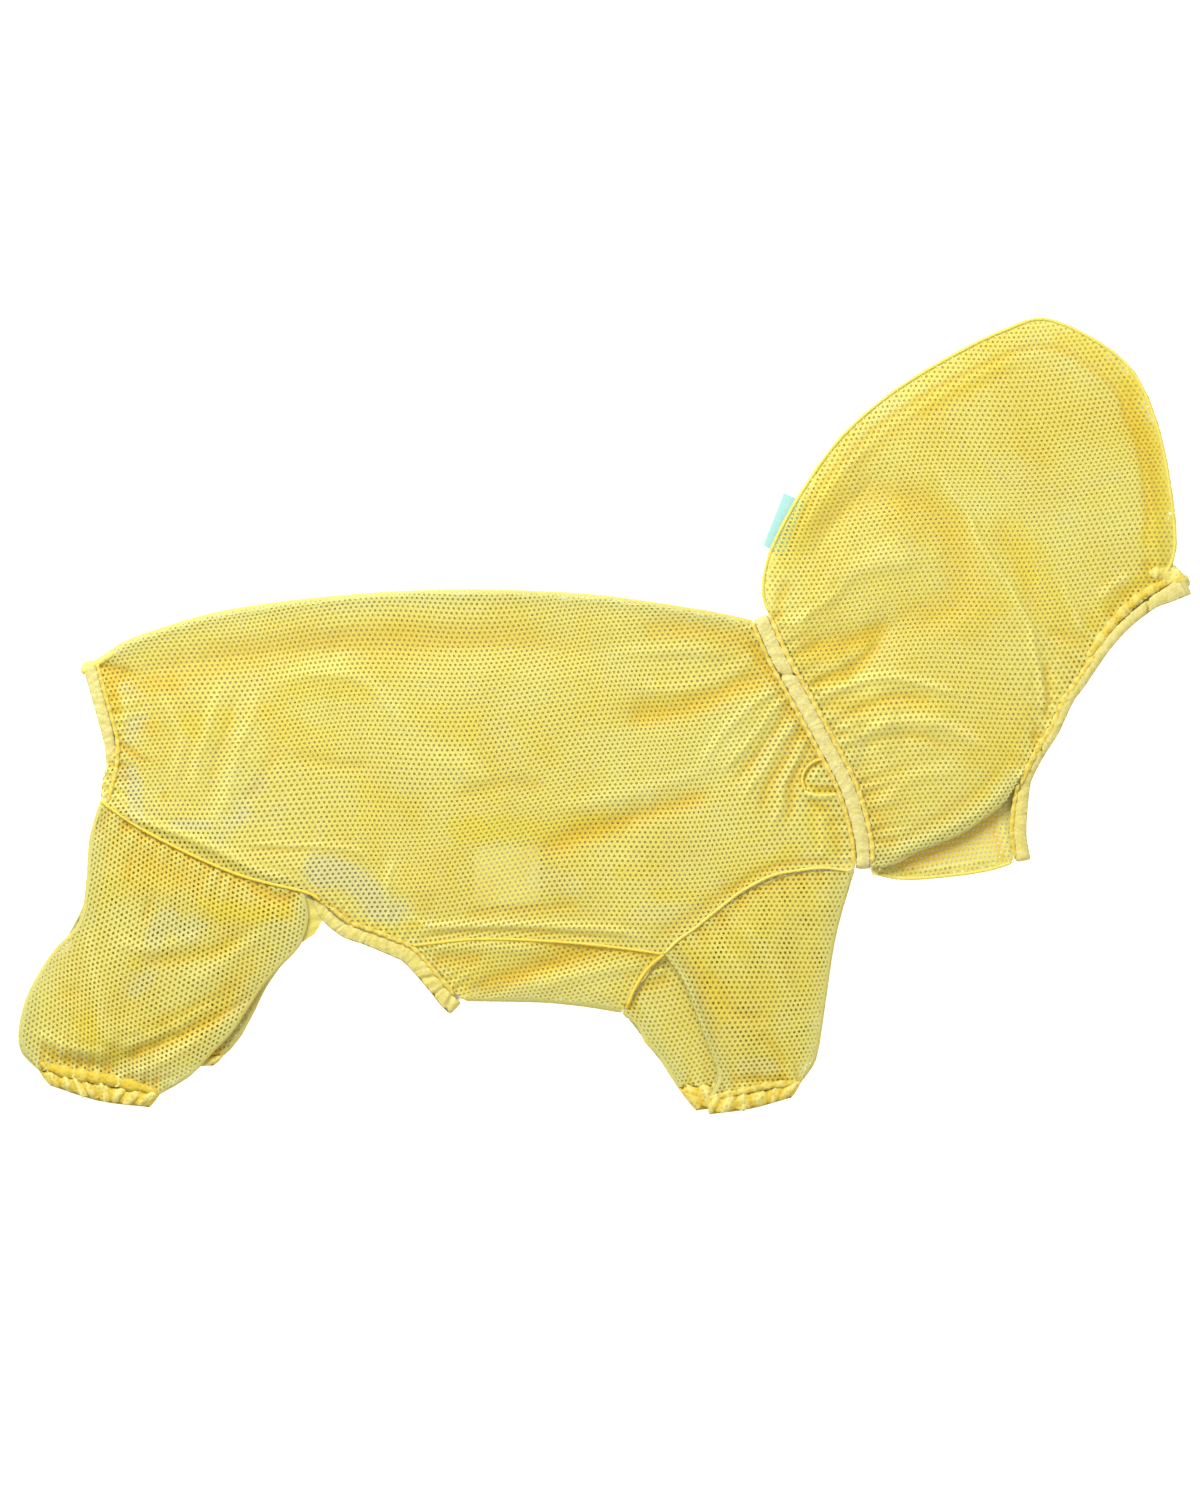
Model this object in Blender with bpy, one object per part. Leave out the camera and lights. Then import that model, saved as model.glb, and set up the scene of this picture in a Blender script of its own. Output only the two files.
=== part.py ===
"""A dog's mesh bug suit, laid flat on its left side.

The nose points along +X, the back along +Y, and the floor is z = 0. The dog's right half of the
garment lies on top of its left half. Every table below is in millimetres.

Each piece of cloth is a wall between an outer and an inner surface, lofted through sections. A
section runs from one edge of the flattened piece (its a side) to the other (its b side). Tubes go
all round, folded panels leave the b side open, and the hood's halves are single layers.
"""

import math
from collections import namedtuple

import bmesh
import bpy
import numpy as np

# Walls and gaps
MM = 0.001
CLOTH = 1.2
CASING = 1.6
RIBBON = 1.0
SEAM_GAP = 0.3
EDGE_GAP = 0.05
EDGE_SLACK = 0.1

# Heights of the wall's middle surface
FLOOR_Z = CLOTH / 2
FAR_TOP_Z = 2.4
LEG_UNDER_Z = 4.0
SEAM_Z = 5.7
CROWN_Z = 2.1
TUCK_Z = (5.1, 3.6, 2.1)

# Shape
SHOULDER = 0.35
LIE_BLEND = 0.2
LIE_LEAST = 0.02
LEG_PUFF = 0.8
LIE_AT_CUFF = 1.3
CUFF_PUFF = 0.4
GATHER = {"right": 0.9, "left": 0.15}
FOLD_FADE = 4.0
RIDGE_FADE = 3.0
RIDGE_PITCH = 4.6
CASING_CROWN = 0.3
HOOD_RISE = 12.0
HOOD_SETTLE = 14.0
TUCK = 8.0
TUCK_LEAST = 0.35
TUCK_ROWS = 8
THROAT_START = (0.2, -2.8)
FAR_LEG_SLACK = 0.5
FAR_SLEEVE_SLACK = 0.2
FAR_HOOD_SLACK = 0.4

# Samples
STEPS = 3
HOOD_STEPS = 2
FOLD_STEPS = 4
CASING_SAMPLES = 90

# Sections. Low and top heights are those of the wall's middle surface.
Section = namedtuple("Section", "a b top_a top_mid top_b lie", defaults=(0.0,))
Hood = namedtuple("Hood", "crown fold throat puff")
Strip = namedtuple("Strip", "at half far_z near_z ridge")
Fold = namedtuple("Fold", "piece start end half_width height")
Cuff = namedtuple("Cuff", "node sewn free bow under_z top_z waves side")

# The body, from the tail opening to the neck: a is on the fold at the spine, b on the lower seam.
BODY = (
    Section((-212.6, 23.4), (-211.3, -35.5), 4.2, 5.2, 5.7),
    Section((-202.0, 31.3), (-195.3, -46.4), 4.2, 5.0, 5.7),
    Section((-184.8, 37.6), (-173.5, -57.8), 4.3, 4.8, 5.7),
    Section((-163.0, 43.9), (-150.4, -67.4), 4.4, 4.7, 5.7),
    Section((-140.7, 47.7), (-125.2, -73.7), 4.4, 4.7, 5.7),
    Section((-114.7, 50.6), (-107.0, -85.5), 4.4, 4.7, 5.0),
    Section((-87.4, 52.7), (-80.0, -96.2), 4.4, 4.7, 4.4),
    Section((-55.9, 53.6), (-51.7, -93.5), 4.4, 4.8, 4.4),
    Section((-24.4, 52.7), (-18.1, -94.7), 4.4, 4.8, 4.4),
    Section((0.8, 51.0), (7.1, -97.2), 4.4, 4.8, 5.0),
    Section((21.8, 48.1), (25.6, -99.8), 4.4, 4.8, 5.6),
    Section((40.7, 45.2), (45.8, -83.0), 4.4, 4.8, 5.7),
    Section((54.2, 42.6), (74.3, -66.6), 4.4, 4.8, 5.7),
    Section((62.6, 40.6), (105.7, -64.3), 4.4, 4.8, 5.5),
)
LEG_ROW = 4
BELLY_ROW = 6
ARM_ROW = 10
REAR_EDGE = ((-212.6, 23.4), (-210.4, 13.1), (-206.1, -2.0), (-203.8, -9.5), (-206.5, -16.5),
             (-209.9, -24.5), (-211.3, -35.5))

# The belly panel: a is on its fold, the garment's lower outline, and b on the seam to the body.
BELLY_FOLD = ((-57.3, -119.6), (-41.2, -119.9), (-24.4, -120.3), (-7.6, -122.0), (7.6, -124.5))
BELLY_REAR = ((-57.3, -119.6), (-62.1, -116.8), (-67.1, -110.7), (-73.9, -102.7), (-80.0, -96.2))
BELLY_FRONT = ((7.6, -124.5), (12.2, -117.4), (19.7, -107.7), (25.6, -99.8))

# Legs and sleeves, from their seam to the cuff: a is the rear edge, b the front edge. lie is how much
# of the under layer, counted from a, rests on the floor and not on the far leg.
LEG_RIGHT = (
    Section(BODY[0].b, BODY[LEG_ROW].b, SEAM_Z, SEAM_Z, SEAM_Z),
    Section((-215.9, -51.0), (-123.5, -85.0), 5.7, 6.4, 5.7),
    Section((-217.1, -68.7), (-127.3, -96.4), 5.7, 6.6, 5.7),
    Section((-220.1, -85.9), (-134.8, -104.4), 5.7, 6.6, 5.7),
    Section((-229.7, -96.8), (-142.8, -113.6), 5.7, 6.8, 5.7),
    Section((-236.9, -107.3), (-149.1, -122.9), 5.7, 7.0, 5.7),
    Section((-242.8, -119.1), (-155.4, -132.5), 5.7, 7.2, 5.7, 0.10),
    Section((-245.7, -132.5), (-163.4, -140.9), 4.6, 7.0, 5.7, 0.28),
    Section((-244.2, -141.3), (-173.5, -151.2), 3.6, 5.4, 5.0, 0.50),
)
LEG_LEFT = (
    Section(BODY[0].b, BODY[LEG_ROW].b, FAR_TOP_Z, FAR_TOP_Z, FAR_TOP_Z),
    Section((-214.6, -51.9), (-124.6, -84.4), FAR_TOP_Z, FAR_TOP_Z, FAR_TOP_Z),
    Section((-215.9, -69.5), (-127.7, -95.5), FAR_TOP_Z, FAR_TOP_Z, FAR_TOP_Z),
    Section((-218.0, -84.6), (-135.2, -104.8), FAR_TOP_Z, FAR_TOP_Z, FAR_TOP_Z),
    Section((-223.9, -98.1), (-141.5, -114.0), FAR_TOP_Z, FAR_TOP_Z, FAR_TOP_Z),
    Section((-227.2, -111.5), (-146.6, -124.5), FAR_TOP_Z, FAR_TOP_Z, FAR_TOP_Z),
    Section((-225.5, -123.3), (-151.6, -133.8), FAR_TOP_Z, FAR_TOP_Z, FAR_TOP_Z),
    Section((-218.0, -133.4), (-156.2, -139.7), FAR_TOP_Z, FAR_TOP_Z, FAR_TOP_Z),
)
SLEEVE_RIGHT = (
    Section(BODY[ARM_ROW].b, BODY[-1].b, 5.6, SEAM_Z, 5.5),
    Section((32.8, -109.4), (101.2, -79.2), 5.7, 6.2, 5.7),
    Section((37.4, -120.3), (97.4, -94.7), 5.7, 6.6, 5.7),
    Section((42.0, -132.1), (94.9, -110.7), 5.7, 6.8, 5.7),
    Section((46.2, -143.4), (92.4, -128.3), 5.7, 6.9, 5.7),
    Section((48.3, -152.0), (89.5, -144.3), 5.7, 6.8, 5.7),
)
SLEEVE_LEFT = (
    Section((8.7, -125.2), BODY[-1].b, FAR_TOP_Z, FAR_TOP_Z, FAR_TOP_Z),
    Section((14.3, -130.4), (98.7, -87.6), FAR_TOP_Z, FAR_TOP_Z, FAR_TOP_Z),
    Section((17.6, -137.1), (94.5, -102.3), FAR_TOP_Z, FAR_TOP_Z, FAR_TOP_Z),
    Section((22.7, -142.2), (91.1, -119.1), FAR_TOP_Z, FAR_TOP_Z, FAR_TOP_Z),
    Section((27.3, -149.7), (86.9, -135.9), FAR_TOP_Z, FAR_TOP_Z, FAR_TOP_Z),
)

# Cuffs: the edge sewn to the leg, then the free edge, each from a to b, and the middle height on top.
CUFFS = (
    Cuff("cuff_hind_right", ((-236.9, -148.8), (-186.0, -158.8)), ((-232.3, -155.0), (-190.3, -164.2)),
         -1.9, FLOOR_Z, 3.4, 7, "right"),
    Cuff("cuff_hind_left", ((-205.8, -140.6), (-159.3, -142.6)), ((-202.0, -146.2), (-163.4, -146.6)),
         -1.0, FLOOR_Z, FAR_TOP_Z, 6, "left"),
    Cuff("cuff_front_right", ((43.9, -160.6), (83.2, -153.9)), ((44.1, -167.2), (79.4, -160.0)),
         -1.2, LEG_UNDER_Z, 5.9, 7, "right"),
    Cuff("cuff_front_left", ((31.5, -156.1), (79.8, -150.8)), ((38.9, -165.6), (76.9, -156.9)),
         -1.2, FLOOR_Z, FAR_TOP_Z, 7, "left"),
)

# The hood's two halves, from the neck band to the face band.
HOOD = (
    Hood((69.2, 43.5), (112.7, -63.6), (112.9, -66.4), 4.8),
    Hood((66.3, 52.0), (117.5, -63.6), (117.6, -67.2), 4.9),
    Hood((69.3, 68.7), (122.3, -62.4), (122.2, -68.0), 4.9),
    Hood((81.5, 92.6), (126.9, -59.5), (126.8, -68.7), 4.9),
    Hood((98.7, 117.0), (131.9, -57.3), (131.3, -68.7), 4.9),
    Hood((121.0, 136.7), (137.0, -55.4), (135.8, -68.4), 4.9),
    Hood((147.8, 153.1), (142.0, -53.4), (140.2, -68.0), 4.9),
    Hood((168.8, 163.2), (147.0, -51.5), (144.6, -67.6), 4.9),
    Hood((185.6, 167.8), (151.8, -49.0), (149.0, -67.0), 4.8),
    Hood((206.6, 159.0), (156.3, -46.2), (153.3, -66.4), 4.7),
    Hood((223.4, 145.1), (160.7, -43.0), (157.5, -65.7), 4.6),
    Hood((233.9, 121.2), (164.9, -39.6), (161.6, -64.8), 4.5),
    Hood((239.4, 93.0), (168.0, -37.2), (165.6, -63.6), 4.4),
    Hood((241.1, 71.2), (171.8, -33.2), (169.5, -62.2), 4.3),
    Hood((237.2, 58.6), (175.6, -25.0), (173.2, -60.8), 4.3),
)

# The three elastic casings, along their middle lines: from the back, or the forehead, downwards.
NECK = (
    Strip((65.9, 42.0), 3.2, 0.8, 4.8, 0.5),
    Strip((74.1, 23.7), 3.2, 0.8, 4.8, 0.5),
    Strip((82.3, 9.0), 3.2, 0.8, 4.8, 0.5),
    Strip((91.6, -8.2), 3.2, 0.8, 4.8, 0.5),
    Strip((102.9, -30.5), 3.2, 0.8, 4.8, 0.5),
    Strip((108.6, -51.5), 3.2, 0.8, 4.8, 0.5),
    Strip((109.2, -64.1), 3.0, 0.8, 4.8, 0.5),
)
FACE = (
    Strip((245.4, 55.4), 4.4, 0.8, 3.6, 0.5),
    Strip((238.1, 51.5), 3.6, 0.8, 3.8, 0.5),
    Strip((231.0, 47.8), 2.6, 0.8, 4.0, 0.5),
    Strip((220.3, 39.3), 2.3, 0.8, 4.0, 0.5),
    Strip((211.1, 29.2), 2.3, 0.8, 4.0, 0.5),
    Strip((201.0, 14.5), 2.3, 0.8, 4.0, 0.5),
    Strip((195.5, 6.9), 2.3, 0.8, 4.0, 0.5),
    Strip((189.6, -5.7), 2.3, 0.8, 4.0, 0.5),
    Strip((184.2, -14.1), 2.3, 0.8, 4.0, 0.5),
    Strip((178.5, -24.5), 2.4, 0.8, 3.6, 0.4),
    Strip((176.4, -31.5), 2.8, 0.8, 3.2, 0.4),
    Strip((175.0, -46.0), 3.0, 0.8, 3.2, 0.4),
    Strip((175.3, -53.0), 3.0, 0.8, 3.2, 0.4),
    Strip((176.6, -60.8), 3.2, 0.8, 3.2, 0.4),
)
# Between its two visible stretches the rear casing runs inside the body, above the leg seam.
REAR = (
    Strip((-216.0, 22.6), 2.7, 0.5, 4.2, 0.5),
    Strip((-213.4, 12.4), 2.7, 0.5, 4.2, 0.5),
    Strip((-209.2, -2.7), 2.7, 0.9, 4.1, 0.5),
    Strip((-207.1, -12.0), 2.4, 2.2, 3.6, 0.0),
    Strip((-206.2, -22.5), 2.2, 2.0, 3.6, 0.0),
    Strip((-203.0, -33.5), 2.2, 2.0, 3.6, 0.0),
    Strip((-192.4, -42.2), 2.2, 2.0, 3.6, 0.0),
    Strip((-173.5, -51.0), 2.2, 2.0, 3.6, 0.0),
    Strip((-150.4, -60.7), 2.2, 2.0, 3.6, 0.0),
    Strip((-131.5, -66.2), 2.2, 2.0, 3.6, 0.0),
    Strip((-121.4, -72.9), 2.2, 2.0, 3.6, 0.0),
    Strip((-117.2, -82.6), 2.4, 2.2, 3.6, 0.0),
    Strip((-108.4, -89.3), 3.4, 1.3, 3.6, 0.4),
    Strip((-99.5, -92.6), 3.4, 0.5, 3.8, 0.5),
    Strip((-90.7, -96.0), 3.6, 0.5, 3.8, 0.5),
    Strip((-82.3, -99.8), 3.6, 0.5, 3.8, 0.5),
    Strip((-76.9, -105.2), 3.6, 0.5, 3.8, 0.5),
    Strip((-70.1, -113.2), 3.6, 0.5, 3.8, 0.5),
    Strip((-65.1, -119.5), 3.6, 0.5, 3.8, 0.5),
    Strip((-61.7, -122.8), 3.3, 0.5, 3.8, 0.5),
)

# The largest folds of the near layers. A negative height is a trough.
FOLDS = (
    Fold("body", (-198.0, 19.0), (-115.0, 28.5), 6.5, -1.1),
    Fold("body", (-115.0, 28.5), (-18.0, 32.0), 6.5, -1.2),
    Fold("body", (-18.0, 32.0), (57.0, 21.0), 6.0, -1.1),
    Fold("body", (70.0, 20.5), (19.0, 3.5), 5.0, -1.0),
    Fold("body", (64.5, -11.5), (8.0, -47.0), 6.0, -1.0),
    Fold("body", (8.0, -47.0), (-18.0, -53.0), 6.0, -0.8),
    Fold("body", (-205.0, -11.0), (-189.0, -21.0), 3.5, 0.6),
    Fold("body", (-208.0, 19.5), (-196.0, 14.0), 3.0, -0.6),
    Fold("body", (-200.0, -36.0), (-166.0, -50.5), 4.5, 1.0),
    Fold("body", (-166.0, -50.5), (-124.0, -66.0), 4.5, 1.1),
    Fold("body", (-176.0, 12.0), (-132.0, -34.0), 8.0, 0.9),
    Fold("body", (-110.0, 5.0), (-84.0, -58.0), 9.0, -0.8),
    Fold("body", (-60.0, 8.0), (-36.0, -38.0), 9.0, 0.8),
    Fold("body", (-92.0, -70.0), (-40.0, -80.0), 5.0, 0.6),
    Fold("body", (18.0, -90.0), (-22.0, -66.0), 5.0, 0.8),
    Fold("body", (60.0, -66.0), (22.0, -42.0), 6.0, 0.8),
    Fold("body", (86.0, -28.0), (97.0, -37.0), 3.0, 0.9),
    Fold("hood_right", (71.5, 41.0), (81.0, 69.5), 4.5, -1.3),
    Fold("hood_right", (81.0, 69.5), (116.0, 97.5), 5.5, -1.3),
    Fold("hood_right", (116.0, 97.5), (143.5, 78.5), 9.0, -1.1),
    Fold("hood_right", (80.0, 33.0), (101.0, 63.0), 4.0, 1.1),
    Fold("hood_right", (101.0, 63.0), (127.5, 76.0), 5.0, 1.0),
    Fold("hood_right", (79.0, 31.0), (105.0, 29.0), 3.5, -1.1),
    Fold("hood_right", (88.5, 12.0), (105.0, 18.5), 3.5, -1.1),
    Fold("hood_right", (105.0, 18.5), (121.0, 34.0), 4.5, -1.1),
    Fold("hood_right", (95.0, 32.0), (124.0, 36.0), 4.0, -0.8),
    Fold("hood_right", (124.0, 36.0), (148.0, 55.0), 6.0, -0.8),
    Fold("hood_right", (101.0, -8.0), (116.0, -2.5), 4.0, 1.0),
    Fold("hood_right", (116.0, -2.5), (148.0, -5.0), 5.0, 1.1),
    Fold("hood_right", (107.5, -13.5), (127.0, -8.5), 3.5, -0.8),
    Fold("hood_right", (185.5, 25.0), (185.5, -1.5), 3.5, -1.0),
    Fold("hood_right", (80.5, 91.5), (71.5, 70.0), 11.0, 2.4),
    Fold("leg_right", (-221.0, -146.0), (-205.0, -147.0), 3.5, -1.1),
    Fold("leg_right", (-205.0, -147.0), (-185.0, -136.0), 3.5, -1.4),
    Fold("leg_right", (-185.0, -136.0), (-153.0, -119.0), 4.0, -1.3),
    Fold("leg_right", (-222.0, -137.0), (-196.0, -132.0), 6.0, 1.0),
    Fold("leg_right", (-200.0, -68.0), (-140.0, -86.0), 7.0, 0.7),
    Fold("leg_right", (-190.0, -90.0), (-215.0, -122.0), 7.0, 0.6),
    Fold("sleeve_right", (52.0, -104.0), (62.0, -140.0), 6.0, 0.7),
    Fold("sleeve_right", (84.0, -84.0), (82.0, -120.0), 6.0, -0.6),
    Fold("sleeve_right", (60.0, -94.0), (92.0, -80.0), 5.0, 0.6),
    Fold("belly_panel", (-55.0, -115.0), (-36.0, -106.0), 3.5, -0.7),
    Fold("belly_panel", (-36.0, -106.0), (1.0, -97.5), 4.0, -0.7),
)

SIDE_LABEL = ((76.0, 93.9), (67.2, 71.8), (76.0, 67.8), (84.9, 90.1))
CARE_LABEL = ((-54.2, -55.2), (-54.6, -79.6), (-26.6, -79.0), (-26.2, -54.6))

NET = (0.83, 0.72, 0.20, 1.0)
CREAM = (0.85, 0.78, 0.33, 1.0)
CYAN = (0.45, 0.77, 0.73, 1.0)
LABEL_CREAM = (0.80, 0.70, 0.36, 1.0)


def clear_scene():
    for obj in list(bpy.data.objects):
        bpy.data.objects.remove(obj, do_unlink=True)


def material(name, colour, roughness):
    made = bpy.data.materials.new(name)
    made.use_nodes = True
    surface = made.node_tree.nodes["Principled BSDF"]
    surface.inputs["Base Color"].default_value = colour
    surface.inputs["Roughness"].default_value = roughness
    surface.inputs["Metallic"].default_value = 0.0
    made.diffuse_color = colour
    return made


# Curves


def smooth(values, steps):
    """Values on a Catmull-Rom curve through the rows, with steps samples between two rows."""
    rows = np.array(values, float)
    if rows.ndim == 1:
        rows = rows[:, None]
    ends = np.vstack([2 * rows[0] - rows[1], rows, 2 * rows[-1] - rows[-2]])
    out = []
    for i in range(len(rows) - 1):
        before, here, there, after = ends[i : i + 4]
        for t in np.arange(steps) / steps:
            slope = (there - before) + t * (2 * before - 5 * here + 4 * there - after)
            bend = t * t * (3 * here - before - 3 * there + after)
            out.append(here + 0.5 * t * (slope + bend))
    return np.array(out + [rows[-1]])


def broken(values, steps, corners):
    """A curve through the rows, with a sharp corner at each row that corners names."""
    stops = [0, *corners, len(values) - 1]
    runs = [smooth(values[a : b + 1], steps) for a, b in zip(stops, stops[1:])]
    return np.vstack([runs[0]] + [run[1:] for run in runs[1:]])


class Path:
    """A curve in plan, read by the fraction of its length."""

    def __init__(self, points, steps=12):
        self.points = smooth(points, steps) if steps else np.array(points, float)
        run = np.hypot(*np.diff(self.points, axis=0).T)
        self.length = run.sum()
        self.at_point = np.concatenate([[0], np.cumsum(run)]) / self.length

    def at(self, v):
        return np.stack([np.interp(v, self.at_point, self.points[:, k]) for k in (0, 1)], axis=-1)

    def side(self, v):
        """Unit normals, to the right of the way the path runs."""
        step = 0.004
        along = self.at(np.minimum(np.add(v, step), 1)) - self.at(np.maximum(np.subtract(v, step), 0))
        along /= np.hypot(along[..., 0], along[..., 1])[..., None]
        return np.stack([along[..., 1], -along[..., 0]], axis=-1)

    def beside(self, distance, count=60):
        v = np.linspace(0, 1, count)
        return Path(self.at(v) + self.side(v) * distance, steps=0)


class Plan:
    """Section lines between an a edge and a b edge, blended with a shaped first and last line."""

    def __init__(self, a_edge, b_edge, first=None, last=None, power=3):
        self.power = power
        self.a = np.array(a_edge)
        self.b = np.array(b_edge)
        self.first = first
        self.last = last
        self.count = len(self.a)

    def bend(self, path, i, v):
        """How far the first or last line pulls section i off its straight line."""
        end = 0 if path is self.first else -1
        straight = self.a[end] + (self.b[end] - self.a[end]) * np.array(v)[:, None]
        share = i / (self.count - 1)
        reach = (1 - share) if end == 0 else share
        return (path.at(v) - straight) * reach ** self.power

    def at(self, i, v):
        v = np.array(v, float)
        points = self.a[i] + (self.b[i] - self.a[i]) * v[:, None]
        for path in (self.first, self.last):
            if path is not None:
                points = points + self.bend(path, i, v)
        return points

    def length(self, i):
        points = self.at(i, np.linspace(0, 1, 40))
        return np.hypot(*np.diff(points, axis=0).T).sum()


def ease(t):
    t = np.clip(t, 0, 1)
    return t * t * (3 - 2 * t)


def fold_height(piece, points):
    """How far the folds of this piece lift its near layer at these places in plan."""
    lift = np.zeros(len(points))
    for fold in FOLDS:
        if fold.piece != piece:
            continue
        start = np.array(fold.start)
        way = np.array(fold.end) - start
        t = np.clip((points - start) @ way / (way @ way), 0, 1)
        away = np.hypot(*(points - start - t[:, None] * way).T)
        lift += fold.height * np.exp(-((away / fold.half_width) ** 2))
    return lift


# Walls


def wall_mesh(name, outer, inner, closed):
    """One closed solid between two grids of points, outer[i][j] and inner[i][j]."""
    rows, cols = outer.shape[:2]
    points = np.concatenate([outer.reshape(-1, 3), inner.reshape(-1, 3)])
    size = rows * cols
    faces = []
    span = cols if closed else cols - 1
    for i in range(rows - 1):
        for j in range(span):
            k = (j + 1) % cols
            faces.append((i * cols + j, i * cols + k, (i + 1) * cols + k, (i + 1) * cols + j))
            faces.append(tuple(size + index for index in reversed(faces[-1])))
    for i in (0, rows - 1):
        for j in range(span):
            k = (j + 1) % cols
            faces.append((i * cols + j, i * cols + k, size + i * cols + k, size + i * cols + j))
    if not closed:
        for j in (0, cols - 1):
            for i in range(rows - 1):
                here, there = i * cols + j, (i + 1) * cols + j
                faces.append((here, there, size + there, size + here))
    mesh = bpy.data.meshes.new(name)
    mesh.from_pydata((points * MM).tolist(), [], faces)
    shape = bmesh.new()
    shape.from_mesh(mesh)
    bmesh.ops.recalc_face_normals(shape, faces=shape.faces)
    bmesh.ops.triangulate(shape, faces=shape.faces)
    shape.to_mesh(mesh)
    shape.free()
    mesh.shade_smooth()
    mesh.set_sharp_from_angle(angle=math.radians(50))
    obj = bpy.data.objects.new(name, mesh)
    bpy.context.scene.collection.objects.link(obj)
    return obj


def arc(centre_s, centre_z, radius, side, steps):
    """A half turn from the near layer down to the far one, or up from it, in (s, z)."""
    angles = np.linspace(math.pi / 2, -math.pi / 2, steps + 1)[1:-1]
    if side < 0:
        angles = angles[::-1]
    return centre_s + side * radius * np.cos(angles), centre_z + radius * np.sin(angles)


def flattened(piece, plan, heights, wall, top_steps, low_steps, closed, ridge=None, arc_steps=FOLD_STEPS,
              open_end=0.0):
    """Outer and inner points of a flattened tube, or of a panel folded along its a side.

    heights(i, v) gives the middle heights of the near and the far layer.
    """
    outer, inner = [], []
    for i in range(plan.count):
        length = plan.length(i)
        near_ends, far_ends = heights(i, np.array([0.0, 1.0]))
        radius = (near_ends - far_ends) / 2
        start = radius[0] + wall / 2
        stop = length - (radius[1] + wall / 2 if closed else open_end)
        top_s = np.linspace(start, stop, top_steps + 1)
        low_s = np.linspace(stop, start, low_steps + 1)
        top_z = heights(i, top_s / length)[0]
        low_z = heights(i, low_s / length)[1]
        fade = ease((top_s - start) / FOLD_FADE)
        if closed:
            fade = fade * ease((stop - top_s) / FOLD_FADE)
        top_z = top_z + fold_height(piece, plan.at(i, top_s / length)) * fade
        # Heights at the ends are kept exact, so that the half turns meet the layers.
        top_z[0], low_z[-1] = near_ends[0], far_ends[0]
        if closed:
            top_z[-1], low_z[0] = near_ends[1], far_ends[1]
        for side, rows in ((1, outer), (-1, inner)):
            half = side * wall / 2
            lift = ridge(i, top_s, length) if ridge and side == 1 else 0
            a_turn = arc(start, (near_ends[0] + far_ends[0]) / 2, radius[0] + half, -1, arc_steps)
            s = [low_s, a_turn[0], top_s]
            z = [low_z - half, a_turn[1], top_z + half + lift]
            if closed:
                b_turn = arc(stop, (near_ends[1] + far_ends[1]) / 2, radius[1] + half, 1, arc_steps)
                s.append(b_turn[0])
                z.append(b_turn[1])
            s, z = np.concatenate(s), np.concatenate(z)
            rows.append(np.column_stack([plan.at(i, s / length), z]))
    return np.array(outer), np.array(inner)


def trim(outer, inner, gap=SEAM_GAP / 2):
    """Draws the first and last section in by half the gap at a seam."""
    for end, other in ((0, 1), (-1, -2)):
        way = outer[other, :, :2] - outer[end, :, :2]
        way /= np.maximum(np.hypot(way[:, 0], way[:, 1]), 1e-6)[:, None]
        outer[end, :, :2] += way * gap
        inner[end, :, :2] += way * gap
    return outer, inner


def blend_heights(rows, steps, far=None):
    """Heights that pass through top_a, top_mid and top_b on each section, and far or lie below."""
    tops = smooth([(row.top_a, row.top_mid, row.top_b) for row in rows], steps)
    lies = smooth([row.lie for row in rows], steps)[:, 0]

    def heights(i, v):
        a, mid, b = tops[i]
        near = a + (mid - a) * ease(v / SHOULDER)
        near = near + (b - mid) * ease((v - 1 + SHOULDER) / SHOULDER)
        if far is None:
            rise = ease((v - lies[i]) / LIE_BLEND + 1) if lies[i] > LIE_LEAST else 1.0
            low = FLOOR_Z + (LEG_UNDER_Z - FLOOR_Z) * rise + 0 * v
        else:
            low = far + 0 * v
        return near, low

    return heights


# Pieces


def seam_run(first, last, gap):
    """The body's lower seam between two of its rows, as a path, moved out from the body by gap."""
    return Path([row.b for row in BODY[first : last + 1]], steps=STEPS).beside(gap, 80)


def body():
    corners = (LEG_ROW, BELLY_ROW, ARM_ROW)
    back = smooth([row.a for row in BODY], STEPS)
    seam = broken([row.b for row in BODY], STEPS, corners)
    neck = Path(casing_edge(NECK, 1), steps=0)
    plan = Plan(back, seam, Path(REAR_EDGE), neck)
    outer, inner = flattened("body", plan, blend_heights(BODY, STEPS, FLOOR_Z), CLOTH, 13, 5, False,
                             open_end=SEAM_GAP / 2)
    return wall_mesh("body", *trim(outer, inner, EDGE_GAP), closed=False)


def belly_panel():
    rows = [Section(fold, row.b, 3.4, 3.9, row.top_b) for fold, row in zip(BELLY_FOLD, BODY[BELLY_ROW:])]
    fold = smooth([row.a for row in rows], STEPS)
    seam = smooth([row.b for row in rows], STEPS)
    plan = Plan(fold, seam, Path(BELLY_REAR), Path(BELLY_FRONT))
    outer, inner = flattened("belly_panel", plan, blend_heights(rows, STEPS, FLOOR_Z), CLOTH, 5, 3, False,
                             open_end=SEAM_GAP / 2)
    return wall_mesh("belly_panel", *trim(outer, inner), closed=False)


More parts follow.
